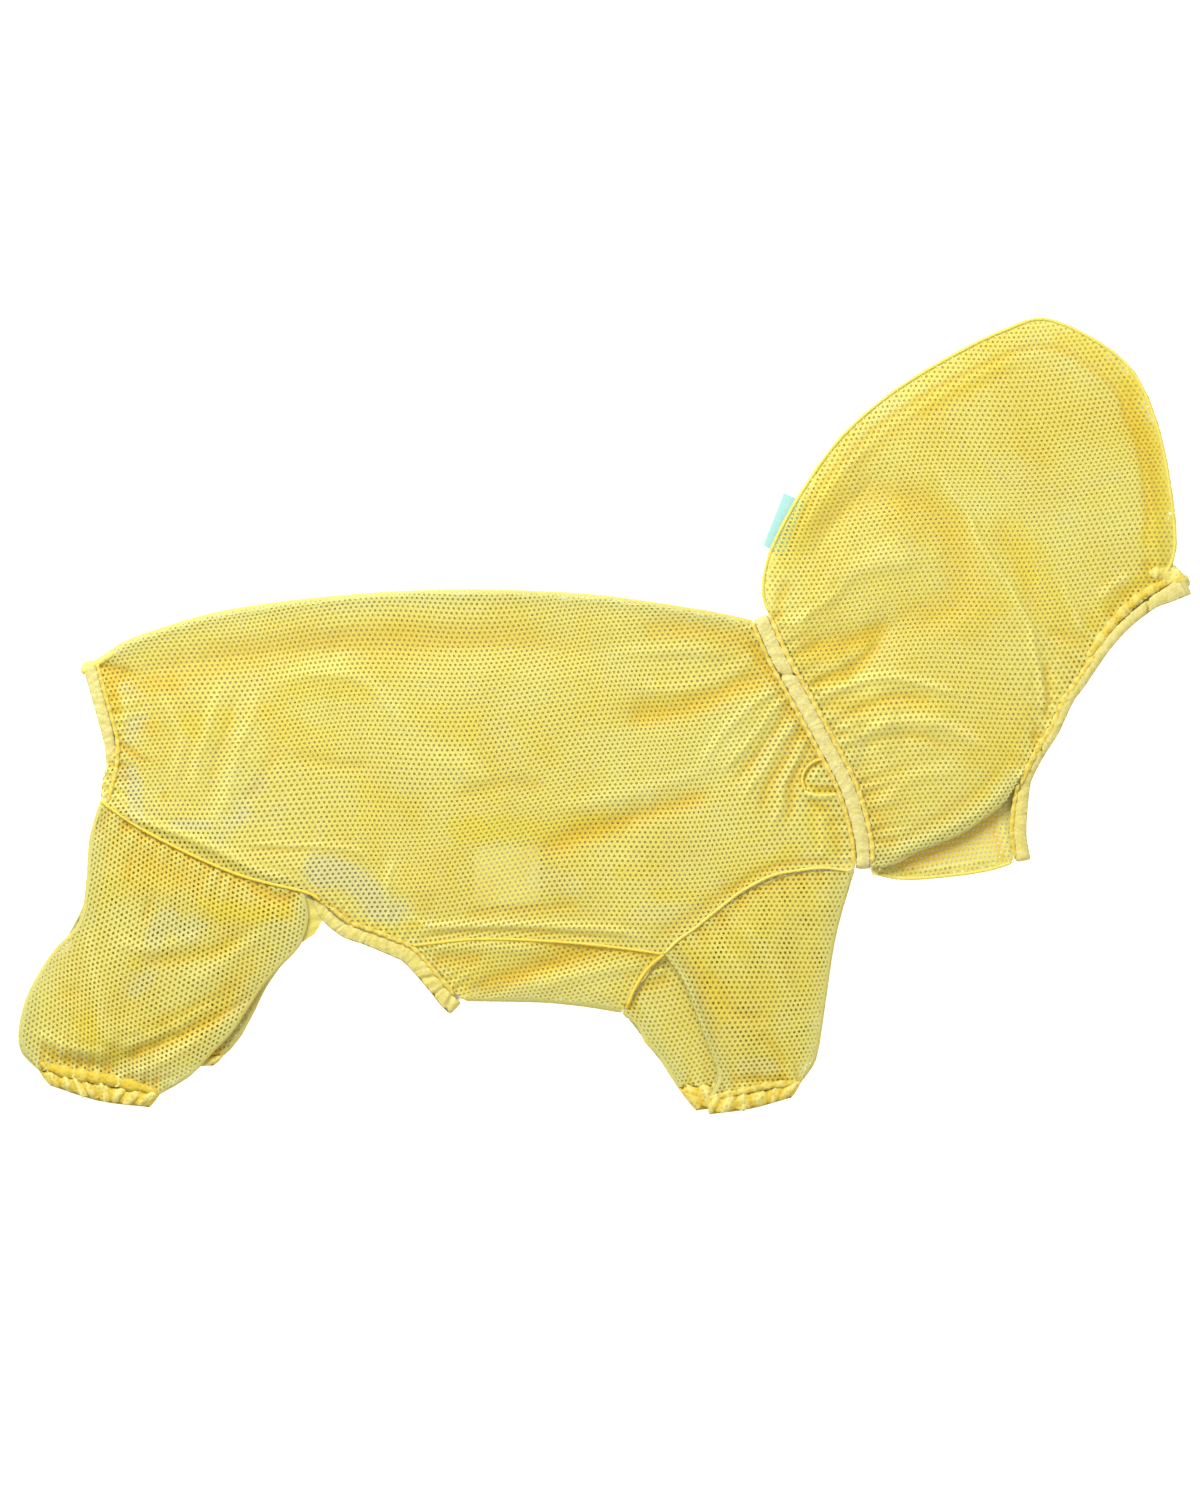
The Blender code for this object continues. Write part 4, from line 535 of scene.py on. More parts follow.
def smooth(rows, steps):
    """A Catmull-Rom curve through the rows, with steps samples from each to the next."""
    rows = np.array(rows, float)
    ends = np.vstack([2 * rows[0] - rows[1], rows, 2 * rows[-1] - rows[-2]])
    out = []
    for i in range(len(rows) - 1):
        before, here, there, after = ends[i : i + 4]
        for t in np.arange(steps) / steps:
            slope = (there - before) + t * (2 * before - 5 * here + 4 * there - after)
            bend = t * t * (3 * here - before - 3 * there + after)
            out.append(here + 0.5 * t * (slope + bend))
    return np.array(out + [rows[-1]])


def ease(t):
    """A soft step from 0 to 1."""
    t = np.clip(t, 0, 1)
    return t * t * (3 - 2 * t)


def stretches(line):
    """The length of each stretch of a line."""
    return np.hypot(*np.diff(line, axis=0).T)


def sampled(share, knots, rows):
    """Rows of numbers, read off column by column at a share of the way along."""
    return np.stack([np.interp(share, knots, rows[:, k]) for k in range(rows.shape[1])], axis=-1)


def beside(points, line):
    """For each point, its distance from a line, the share of the line before it, and on which side it
    is, positive to the left, with the nearest stretch's left-hand normal."""
    line = np.array(line, float)
    runs = stretches(line)
    starts = np.concatenate([[0], np.cumsum(runs)])
    gap = np.full(len(points), 1e9)
    share = np.zeros(len(points))
    side = np.zeros(len(points))
    normal = np.zeros((len(points), 2))
    for k, run in enumerate(runs):
        way = (line[k + 1] - line[k]) / run
        reached = np.clip((points - line[k]) @ way, 0, run)
        off = points - line[k] - reached[:, None] * way
        here = np.hypot(off[:, 0], off[:, 1])
        closer = here < gap
        gap[closer] = here[closer]
        share[closer] = ((starts[k] + reached) / starts[-1])[closer]
        left = np.array((-way[1], way[0]))
        side[closer] = np.sign(off @ left)[closer]
        normal[closer] = left
    return gap, share, side, normal


def stroke(points, line, reach):
    """The points within reach of a line, with their distances from it and the shares of its length."""
    line = smooth(line, 3)
    inside = (points > line.min(axis=0) - reach) & (points < line.max(axis=0) + reach)
    near = inside.all(axis=1).nonzero()[0]
    gap, share, _, _ = beside(points[near], line)
    return near, gap, share


def sway(points, seed, size, waves=(60, 95, 150)):
    """A slow drift of the cloth in its own plane, a few sines that cross."""
    rng = np.random.default_rng(seed)
    drift = np.zeros_like(points)
    for wave in waves:
        for axis in (0, 1):
            angle = rng.uniform(0, 2 * math.pi)
            way = np.array((math.cos(angle), math.sin(angle))) * 2 * math.pi / wave
            drift[:, axis] += size * wave / 95 * np.sin(points @ way + rng.uniform(0, 2 * math.pi))
    return drift


def along(rows, steps=6):
    """A smooth line through the rows: a function from the share of its length to places, and the length."""
    line = smooth(rows, steps)
    runs = stretches(line[:, :2])
    knots = np.concatenate([[0], np.cumsum(runs)]) / runs.sum()
    return lambda v: sampled(v, knots, line), runs.sum()


def leftwards(at, v):
    """Unit normals to the left of a line."""
    way = at(np.clip(v + 0.004, 0, 1))[:, :2] - at(np.clip(v - 0.004, 0, 1))[:, :2]
    way /= np.hypot(way[:, 0], way[:, 1])[:, None]
    return np.stack([-way[:, 1], way[:, 0]], axis=-1)


# Mesh helpers


def only(obj):
    """Selects this object alone and makes it the active one."""
    bpy.ops.object.select_all(action="DESELECT")
    obj.select_set(True)
    bpy.context.view_layer.objects.active = obj


def edit(obj, *steps):
    """Goes into edit mode with everything selected, runs the steps, and comes back."""
    only(obj)
    bpy.ops.object.mode_set(mode="EDIT")
    bpy.ops.mesh.select_all(action="SELECT")
    for step in steps:
        step()
    bpy.ops.object.mode_set(mode="OBJECT")


def coordinates(mesh):
    """The places of a mesh's points, in metres."""
    co = np.empty(len(mesh.vertices) * 3, np.float32)
    mesh.vertices.foreach_get("co", co)
    return co.reshape(-1, 3).astype(float)


def set_coordinates(mesh, co):
    mesh.vertices.foreach_set("co", np.ascontiguousarray(co, np.float32).ravel())
    mesh.update()


def pairs(mesh):
    """The two points of each edge."""
    ends = np.empty(len(mesh.edges) * 2, np.int32)
    mesh.edges.foreach_get("vertices", ends)
    return ends.reshape(-1, 2)


def corners(mesh):
    """The point of each face corner."""
    points = np.empty(len(mesh.loops), np.int32)
    mesh.loops.foreach_get("vertex_index", points)
    return points


def drop_points(obj, gone):
    """Deletes the marked points, with the faces and edges on them."""
    mesh = obj.data
    edges, loops = pairs(mesh), corners(mesh)
    starts = np.empty(len(mesh.polygons), np.int32)
    mesh.polygons.foreach_get("loop_start", starts)
    mesh.vertices.foreach_set("select", gone)
    mesh.edges.foreach_set("select", gone[edges].all(axis=1))
    mesh.polygons.foreach_set("select", np.logical_and.reduceat(gone[loops], starts))
    only(obj)
    bpy.ops.object.mode_set(mode="EDIT")
    bpy.ops.mesh.select_mode(type="VERT")
    bpy.ops.mesh.delete(type="VERT")
    bpy.ops.object.mode_set(mode="OBJECT")


def paint(obj, **layers):
    """Gives each point of a piece the numbers that its finish reads."""
    for name, values in layers.items():
        attribute = obj.data.attributes.new(name, "FLOAT", "POINT")
        attribute.data.foreach_set("value", values.astype(np.float32))


def strip(name, cells, rows):
    """A flat strip to be shaped, and each point's shares of the way along and across it."""
    bpy.ops.mesh.primitive_grid_add(x_subdivisions=cells, y_subdivisions=rows, size=1, location=(0, 0, 0))
    obj = bpy.context.object
    obj.name = name
    obj.data.name = name
    lengthwise, across = coordinates(obj.data)[:, :2].T + 0.5
    return obj, lengthwise, across


def close_up(obj, weld=None):
    """Welds points that are closer than weld, where it is given, and turns every face outwards."""
    steps = [lambda: bpy.ops.mesh.normals_make_consistent(inside=False)]
    if weld:
        steps.insert(0, lambda: bpy.ops.mesh.remove_doubles(threshold=weld))
    edit(obj, *steps)


def thicken(obj, thickness, group=""):
    """Gives a strip its thickness, half of it to each side."""
    wall = obj.modifiers.new("wall", "SOLIDIFY")
    wall.thickness = thickness * MM
    wall.offset = 0.0
    wall.vertex_group = group
    bpy.ops.object.modifier_apply(modifier=wall.name)


@cache
def solid(node):
    """The faces of a solid, ready to be searched."""
    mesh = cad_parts[node].data
    return BVHTree.FromPolygons([v.co for v in mesh.vertices], [p.vertices for p in mesh.polygons])


def meets(tree, x, y, way):
    """Where a line down from above the garment, or up from below it, first meets a solid, or None."""
    return tree.ray_cast(Vector((x, y, -FAR_OFF * way.z)), way)[0]


def footprint(node):
    """The drawn corners of the box that a solid covers in plan."""
    return [np.array(corner)[:2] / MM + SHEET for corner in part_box(node)]


def dress(obj, finish, node=None):
    """Gives a finished piece its material and its body, and hides the solid that it stands for, where one is
    given.
    """
    obj.data.materials.clear()
    obj.data.materials.append(finish)
    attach(obj, "root")
    if node:
        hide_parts(node)
    return obj


# Cloth


def net_bolt():
    """The bolt of net that every piece is cut from: rows of hexagons, with the edges between them widened
    to threads, and the hexagons taken out."""
    radius = PITCH * MM / math.sqrt(3)
    bpy.ops.mesh.primitive_circle_add(vertices=6, radius=radius, fill_type="NGON", location=(0, 0, 0))
    bolt = bpy.context.object
    bolt.name = "net_bolt"
    edit(bolt, lambda: bpy.ops.mesh.duplicate_move(
        TRANSFORM_OT_translate={"value": (PITCH * MM / 2, 1.5 * radius, 0)}))
    for count, step in ((BOLT_COLUMNS, (PITCH * MM, 0, 0)), (BOLT_ROWS, (0, 3 * radius, 0))):
        rows = bolt.modifiers.new("rows", "ARRAY")
        rows.count = count
        rows.use_relative_offset = False
        rows.use_constant_offset = True
        rows.constant_offset_displace = step
        bpy.ops.object.modifier_apply(modifier=rows.name)

    def cut_holes():
        bpy.ops.mesh.remove_doubles(threshold=radius / 10)
        bpy.ops.mesh.bevel(offset=THREAD * MM / 2, offset_type="OFFSET", segments=1, affect="EDGES")
        bpy.ops.mesh.select_mode(type="FACE")
        bpy.ops.mesh.select_all(action="DESELECT")
        bpy.ops.mesh.select_face_by_sides(number=6)
        bpy.ops.mesh.delete(type="FACE")

    edit(bolt, cut_holes)
    co = coordinates(bolt.data)
    set_coordinates(bolt.data, co - (co.max(axis=0) + co.min(axis=0)) / 2)
    return bolt


def wall_middle(tree, x, y, near, apart):
    """The middle height of the highest or lowest wall at a place, in metres, or None beside the solid.
    With apart, the lowest wall only counts where it isn't the highest as well."""
    way = DOWN if near else UP
    hit = meets(tree, x, y, way)
    if hit is None:
        return None
    out = tree.ray_cast(hit + way * JUST_INSIDE, way)[0]
    if out is None:
        return None
    if apart and meets(tree, x, y, DOWN).z - hit.z < APART * CLOTH * MM:
        return None
    return hit.z + min(CLOTH * MM, abs(out.z - hit.z)) / 2 * way.z


def pull_in(points, rims, middle):
    """Draws the cloth in over its folds, where it turns away and its threads close up."""
    rim_share = np.zeros(len(points))
    for name in rims:
        line = smooth(RIMS[name], 4)
        gap, share, side, normal = beside(points, line)
        inside = beside(middle[None], line)[2][0]
        distance = gap * side * inside
        reach, spare = 9.0, 2.6
        power = 1 + spare / reach
        moved = reach * (np.clip(distance + spare, 0, None) / (reach + spare)) ** power
        ends = ease(share / 0.04) * ease((1 - share) / 0.04)
        shift = np.where(distance < reach, moved - distance, 0) * ends
        points = points + normal * (shift * inside)[:, None]
        turned = np.where(distance < reach, 1 - np.clip(moved / reach, 0, 1), 0) * ends
        rim_share = np.maximum(rim_share, turned)
    return points, rim_share


def gathered(gather, gap, share):
    """The uneven waves of a gather, fading away from its seam."""
    length = stretches(gather.line).sum()
    rng = np.random.default_rng(gather.seed)
    knots = np.cumsum(rng.uniform(0.5, 1.5, max(4, round(length / gather.pitch)) + 1))
    knots = (knots - knots[0]) / (knots[-1] - knots[0])
    strength = rng.uniform(0.35, 1.0, len(knots))
    reach = gather.reach * rng.uniform(0.5, 1.2, len(knots))
    phase = np.interp(share, knots, np.arange(len(knots)))
    wave = np.cos(2 * math.pi * phase) * np.interp(share, knots, strength)
    fine = 0.3 * np.cos(2 * math.pi * 2.3 * phase + 1.0) * np.exp(-gap / 3)
    return wave * np.exp(-gap / np.interp(share, knots, reach)) + fine


def creasing(piece, points, gathers):
    """How far creases and gathers lift the cloth, in millimetres, the painted shade and highlight that they
    put on it, and how pale its patches are."""
    lift, tint, pale = np.zeros((3, len(points)))
    wander = points + sway(points, 77, 1.4, (17, 26, 41))
    for half_width, height, shading_amount, line in CREASES.get(piece, ()):
        near, gap, share = stroke(wander, line, 3 * half_width)
        fade = ease(share / 0.15) * ease((1 - share) / 0.15) * 0.8 + 0.2
        shape = np.exp(-((gap / half_width) ** 2)) * fade
        lift[near] += height * shape
        # Painted shading: a painted golden shade along a trough, a painted highlight along a ridge.
        tint[near] += shading_amount * shape
    for half_width, paleness, line in PATCHES.get(piece, ()):
        near, gap, _ = stroke(wander, line, 2 * half_width)
        pale[near] += paleness * ease((1.5 * half_width - gap) / half_width)
    for name in gathers:
        gather = GATHERS[name]
        near, gap, share = stroke(wander, gather.line, 3 * gather.reach)
        shape = gathered(gather, gap, share)
        lift[near] += gather.height * shape
        # The gather's painted shading: a painted highlight on each crest, a painted golden shade in each
        # trough.
        tint[near] += gather.tint * shape
    return lift, np.clip(tint, -1, 1), np.clip(pale, -1, 1)


def cut_threads(points, heights, edges, height_at):
    """Cuts the threads that cross a piece's edge: their outer ends move in along them, to the last place
    on the wall. Tells which points are kept."""
    has = ~np.isnan(heights)
    kept = has.copy()
    for a, b in edges[has[edges[:, 0]] != has[edges[:, 1]]]:
        out, within = (a, b) if has[b] else (b, a)
        if kept[out]:
            continue
        low_share, high_share, best = 0.0, 1.0, heights[within]
        for _ in range(HALVINGS):
            share = (low_share + high_share) / 2
            z = height_at(points[within] + (points[out] - points[within]) * share)
            if z is None:
                high_share = share
            else:
                low_share, best = share, z / MM
        points[out] = points[within] + (points[out] - points[within]) * low_share
        heights[out] = best
        kept[out] = True
    return kept


def lay_chart(mesh, flat, low, high, near):
    """Lays the cut out flat as the piece's chart: the near layer in one half of it, the far in the other."""
    size = high - low
    narrow = 1 if size[0] > size[1] else 0
    size[narrow] *= 2
    chart = (flat - low) * (0.98 / size.max()) * 0.94 + 0.01
    if not near:
        chart[:, narrow] += 0.5
    while mesh.uv_layers:
        mesh.uv_layers.remove(mesh.uv_layers[0])
    layer = mesh.uv_layers.new(name="OFBake")
    layer.data.foreach_set("uv", np.clip(chart, 0, 1)[corners(mesh)].astype(np.float32).ravel())


def cut_net(bolt, cloth, near):
    """One layer of a piece, cut from the bolt and laid in the middle of its solid's wall. The hood's left
    side is one wall, with a lining under it where the throat shows."""
    tree = solid(cloth.node)
    low, high = footprint(cloth.node)
    middle = (low + high) / 2
    angle = math.radians(cloth.turn if near else cloth.far_turn)
    turned = np.array(((math.cos(angle), math.sin(angle)), (-math.sin(angle), math.cos(angle))))
    only(bolt)
    bpy.ops.object.duplicate()
    net = bpy.context.object
    flat = coordinates(net.data)[:, :2] / MM @ turned + middle
    drop_points(net, ((flat < low - CUT_MARGIN) | (flat > high + CUT_MARGIN)).any(axis=1))
    flat = coordinates(net.data)[:, :2] / MM @ turned + middle
    flat = flat + sway(flat, cloth.seed + (0 if near else 50), 1.1)
    points, rim = pull_in(flat, cloth.rims, middle)
    apart = cloth.node == "hood_right" and not near
    lining = cloth.node == "hood_left" and not near

    def height_at(point):
        return wall_middle(tree, *(point - SHEET) * MM, near, apart)

    heights = np.full(len(points), np.nan)
    for i, point in enumerate(points):
        x, y = (point - SHEET) * MM
        if lining and meets(solid("hood_right"), x, y - LINING_TUCK * MM, DOWN):
            continue
        z = height_at(point)
        if z is not None:
            heights[i] = z / MM
    kept = cut_threads(points, heights, pairs(net.data), height_at)

    lift, tint, pale = creasing(cloth.node, points, cloth.gathers)
    if not near:
        # The far layer takes a fifth of the folds, turned over, and three tenths of the painted shading.
        lift, tint = lift * -0.2, tint * 0.3
    if lining:
        heights = heights - LINING_DROP
    heights = np.where(kept, heights + np.clip(FOLD_DEPTH * lift, *LIFT_RANGE), 0)
    set_coordinates(net.data, place(points, heights))
    # Under marks the far layer, which the finish paints darker and greyer as painted shade.
    paint(net, tint=tint, rim=rim, pale=pale, under=np.full(len(points), 0.0 if near else 1.0))
    lay_chart(net.data, flat, low, high, near)
    drop_points(net, ~kept)
    edit(net, bpy.ops.mesh.delete_loose)
    if not near:
        edit(net, bpy.ops.mesh.flip_normals)
    bpy.ops.object.shade_smooth()
    return net


def sew(cloth, bolt):
    """Both layers of a piece as one net, in place of its solid."""
    net = cut_net(bolt, cloth, True)
    far = cut_net(bolt, cloth, False)
    only(net)
    far.select_set(True)
    bpy.ops.object.join()
    net.name = cloth.name
    net.data.name = cloth.name
    return dress(net, NET, cloth.node)


# Bands and cuffs


def ruching(length, pitch, seed, fine_share=0.3):
    """Uneven waves from 0 to 1 along a gathered line, as a function of the share of its length."""
    rng = np.random.default_rng(seed)
    count = max(3, round(length / pitch))
    knots = np.concatenate([[0], np.cumsum(rng.uniform(0.7, 1.3, count))])
    knots /= knots[-1]
    strength = rng.uniform(0.5, 1.0, count + 1)
    fine = rng.uniform(0, 2 * math.pi, 3)

    def wave(v):
        phase = np.interp(v, knots, np.arange(count + 1))
        broad = (0.5 - 0.5 * np.cos(2 * math.pi * phase)) * np.interp(v, knots, strength)
        small = sum(np.sin(2 * math.pi * v * length / (1.5 + 0.45 * k) + fine[k]) for k in range(3)) / 3
        return (1.15 - fine_share / 2) * broad + fine_share * small

    return wave


def loop_run(u, length, far_z, near_z, wall):
    """A strip bent into a flat loop, its upper and lower run joined by a turn at each end: each point's
    share of the band's length, its height, and how far up it faces, from 1 above to -1 below."""
    radii = [(near_z(end) - far_z(end)) / 2 for end in (0.0, 1.0)]
    middles = [(near_z(end) + far_z(end)) / 2 for end in (0.0, 1.0)]
    first, last = radii[0] + wall / 2, length - radii[1] - wall / 2
    run = last - first
    stops = np.cumsum([run, math.pi * radii[1], run, math.pi * radii[0]])
    p = u * stops[-1]
    turn_b = (p - stops[0]) / radii[1]
    turn_a = (p - stops[2]) / radii[0]
    parts = [p < stops[0], p < stops[1], p < stops[2]]
    s = np.select(parts, [first + p, last + radii[1] * np.sin(turn_b), last - (p - stops[1])],
                  first - radii[0] * np.sin(turn_a))
    v = np.clip(s / length, 0, 1)
    z = np.select(parts, [near_z(v), middles[1] + radii[1] * np.cos(turn_b), far_z(v)],
                  middles[0] - radii[0] * np.cos(turn_a))
    upward = np.select(parts, [np.ones_like(p), np.cos(turn_b), -np.ones_like(p)], -np.cos(turn_a))
    return v, z, upward


def loop_band(name, edge_a, edge_b, length, far_z, near_z, wall, cells, across, wave, height, scallop,
              pale=(1.0, 1.0)):
    """A band that goes round, pressed flat: a loop between two edges, puffed up in waves on its upper
    run, and given its thickness, which thins towards its edges."""
    band, u, w = strip(name, cells, across)
    w = 0.5 - 0.5 * np.cos(math.pi * w)
    v, z, upward = loop_run(u, length, far_z, near_z, wall)
    lean = 3.5 * (w - 0.5) * np.sin(v * length / 6.0 + 1.0)
    folds = wave(np.clip(v + lean / length, 0, 1)) * (1 + 0.3 * np.sin(v * length / RIPPLE + 5.0 * w))
    upper = np.clip(upward, 0, 1)
    z = z + height * folds * upper * (1 - 0.4 * (2 * w - 1) ** 2) + 0.25 * upper * (1 - (2 * w - 1) ** 2)
    spread = (w - 0.5) * (1 - scallop * (1 - folds) * upper) + 0.5
    a, b = edge_a(v), edge_b(v)
    set_coordinates(band.data, place(a + (b - a) * spread[:, None], z))
    # Painted shading on the band: a painted highlight on each puff, a painted golden shade between them.
    paint(band, tint=2 * folds - 1, pale=np.interp(v, (0, 1), pale))
    group = band.vertex_groups.new(name="wall")
    for i, share in enumerate(np.clip(np.sqrt(1 - (2 * w - 1) ** 2), 0.3, 1)):
        group.add([i], float(share), "REPLACE")
    close_up(band, 0.00002)
    thicken(band, wall, "wall")
    bpy.ops.object.shade_smooth()
    return band


def casing(row):
    """A ruched elastic casing, with narrow notches where it is pinched."""
    rows = np.array(row.rows)
    centre, length = along(rows[:, :2])
    starts = np.concatenate([[0], np.cumsum(stretches(rows[:, :2]))])
    half, far_z, near_z = ((lambda v, k=k: np.interp(v, starts / starts[-1], rows[:, k])) for k in (2, 3, 4))
    gathers = ruching(length, row.pitch, row.seed, 0.7)

    def wave(v):
        waves = gathers(v)
        for spot, width, depth in row.notches:
            waves = waves - depth / row.height * np.exp(-(((v - spot) * length / width) ** 2))
        return waves

    def edge(side):
        return lambda v: centre(v) + side * leftwards(centre, v) * (half(v) - 0.1)[:, None]

    def lower(v):
        return np.maximum(far_z(v), row.wall / 2)

    band = loop_band(row.name, edge(-1), edge(1), length, lower, near_z, row.wall,
                     round(2 * length / CASING_CELL), 8, wave, row.height, 0.10, row.pale)
    return dress(band, ELASTIC, row.node)


def bowed(ends, bow):
    """A shallow curve between two ends, bowed to its left."""
    a, b = np.array(ends, float)
    left = np.array((-(b - a)[1], (b - a)[0])) / np.hypot(*(b - a))
    return along([a, (a + b) / 2 + left * bow, b], 16)


def cuff(row):
    """A gathered cuff: its upper run is drawn into lobes, and its sewn edge is tucked into the leg."""
    sewn, length = bowed(row.sewn, row.bow / 2)
    free, _ = bowed(row.free, row.bow)
    band = loop_band(row.name, lambda v: sewn(v) * 1.12 - free(v) * 0.12, free, length,
                     lambda v: row.far_z + 0 * v, lambda v: row.near_z + 0 * v, 1.0,
                     round(2 * length / CUFF_CELL), 10, ruching(length, row.pitch, row.seed), row.height, 0.3)
    return dress(band, CUFF, row.node)


# Seams, turns and labels


def tops_along(line, left, trees):
    """The height of the highest solid along a line, looked for on it and a little to each side."""
    tops = []
    for spot, aside in zip(line, left):
        hits = []
        for step in (-0.7, 0.0, 0.7):
            x, y = (spot + aside * step - SHEET) * MM
            hits += [meets(tree, x, y, DOWN) for tree in trees]
        hits = [hit.z / MM for hit in hits if hit is not None]
        tops.append(max(hits) if hits else np.nan)
    return np.array(tops)


def welt(row):
    """A rolled seam, half sunk in the cloth. One with lobes is the cloth itself, bunched along the seam."""
    centre, length = along(row.line)
    roll, u, turned = strip(row.name, round(length / WELT_CELL), 8)
    v_line = np.linspace(0, 1, 160)
    left = leftwards(centre, v_line)
    line = centre(v_line) + left * row.shift
    tops = tops_along(line, left, [solid(node) for node in row.nodes])
    found = ~np.isnan(tops)
    tops = np.interp(v_line, v_line[found], tops[found])
    tops = np.convolve(np.pad(tops, 4, "edge"), np.ones(9) / 9, "valid")
    plan = sampled(u, v_line, line)
    angle = 2 * math.pi * turned
    tapers = min(4 * row.radius, length / 3) if row.lobes else 1.2
    ends = np.sqrt(np.clip(np.minimum(u, 1 - u) * length / tapers, 0, 1))
    bunches = ruching(length, row.lobes, round(length), 0.12)(u) if row.lobes else np.full(len(u), 0.5)
    thread = (0.03 if row.lobes else 0.1) * np.sin(2 * math.pi * u * length / RIPPLE + angle)
    radius = row.radius * (0.82 + 0.34 * bunches + thread) * ends
    normal = leftwards(lambda v: sampled(v, v_line, line), u)
    height = np.interp(u, v_line, tops) - row.sunk + (0.4 if row.lobes else 0.55) * radius * np.sin(angle)
    set_coordinates(roll.data, place(plan + normal * (radius * np.cos(angle))[:, None], height))
    # Painted shading on the roll: the seam's own value, a painted shade below 0 and a painted highlight above
    # 0, lighter on the bunches and darker between them.
    paint(roll, tint=row.tint + 1.1 * (bunches - 0.5))
    close_up(roll, 0.00001)
    bpy.ops.object.shade_smooth()
    return dress(roll, CUFF if row.lobes else STITCHED)


def turn(node, rim):
    """The cloth's turn round a fold, from the near layer to the far one."""
    tree = solid(node)
    centre, length = along(RIMS[rim])
    fold, u, across = strip(f"{rim}_turn", round(length / TURN_CELL), 6)
    v_line = np.linspace(0, 1, 120)
    low, high = footprint(node)
    inside = beside((low + high)[None] / 2, RIMS[rim])[2][0]
    inward = leftwards(centre, v_line) * inside
    edge = centre(v_line)
    rows = []
    for spot, way in zip(edge, inward):
        x, y = (spot + way * 1.1 - SHEET) * MM
        top, base = meets(tree, x, y, DOWN), meets(tree, x, y, UP)
        rows.append((top.z / MM, base.z / MM) if top and base else (np.nan, np.nan))
    rows = np.array(rows)
    found = ~np.isnan(rows[:, 0])
    top, base = (np.interp(u, v_line[found], rows[found, k]) for k in (0, 1))
    half = np.maximum((top - base) / 2 - 0.5, 0.35)
    angle = math.pi * (across - 0.5)
    reach = 1.4 * (1 - np.cos(angle)) + 0.1
    plan = sampled(u, v_line, edge) + sampled(u, v_line, inward) * reach[:, None]
    set_coordinates(fold.data, place(plan, (top + base) / 2 + half * np.sin(angle)))
    # A painted highlight along the turn, paler and greyer than the flat net.
    paint(fold, rim=np.full(len(u), 0.35))
    close_up(fold)
    bpy.ops.object.shade_smooth()
    return dress(fold, NET)


def ribbon(name, drawn, cells, profile, thickness, finish, node=None):
    """A flat piece between four corners; profile gives the drawn share across, and the height."""
    label, u, w = strip(name, *cells)
    share, height = profile(u, w)
    c = np.array(drawn)
    left = c[0] + (c[1] - c[0]) * w[:, None]
    right = c[3] + (c[2] - c[3]) * w[:, None]
    set_coordinates(label.data, place(left + (right - left) * share[:, None], height))
    close_up(label)
    thicken(label, thickness)
    bpy.ops.object.shade_smooth_by_angle(angle=math.radians(40))
    return dress(label, finish, node)


def side_tab(u, w):
    """The tab at the hood's back: a ribbon folded over at its outer edge."""
    bend, fold = 0.32, 0.05
    arm = 1 - bend * fold
    q = (u - 0.5) * 2 * (arm + fold)
    turned = np.clip(q / fold, -1, 1) * math.pi / 2
    share = np.where(np.abs(q) < fold, 0.03 * (1 - np.cos(turned)), np.abs(q) - 0.02)
    return np.clip(share, 0, 1), LABEL_Z + bend * np.sin(turned) + 0.06 * np.sin(5 * w)


def care_tab(u, w):
    """The care label inside the flank, not quite flat."""
    return u, LABEL_Z + 0.22 * np.sin(3.1 * u + 4.3 * w) * np.sin(2.2 * w + 0.6)


def leg_corner(u, w):
    """The leg's front corner, drawn up in folds against the band."""
    folds = 0.3 * np.sin(17.0 * w + 3.0 * u) * (1 - w) + 0.2 * np.sin(9.0 * u - 4.0 * w)
    return u, 3.1 + 0.6 * np.sin(math.pi * u) + folds


# Finishes


class Value:
    """A socket with arithmetic."""

    def __init__(self, look, socket):
        self.look = look
        self.socket = socket

    def math(self, operation, a, b):
        return self.look.add("ShaderNodeMath", {"operation": operation}, {0: a, 1: b})

    def __add__(self, other):
        return self.math("ADD", self, other)

    def __mul__(self, other):
        return self.math("MULTIPLY", self, other)

    def __sub__(self, other):
        return self.math("SUBTRACT", self, other)

    def __rsub__(self, other):
        return self.math("SUBTRACT", other, self)

    __radd__ = __add__
    __rmul__ = __mul__

    def clipped(self, low=0.0, high=1.0):
        return self.math("MAXIMUM", self.math("MINIMUM", self, high), low)


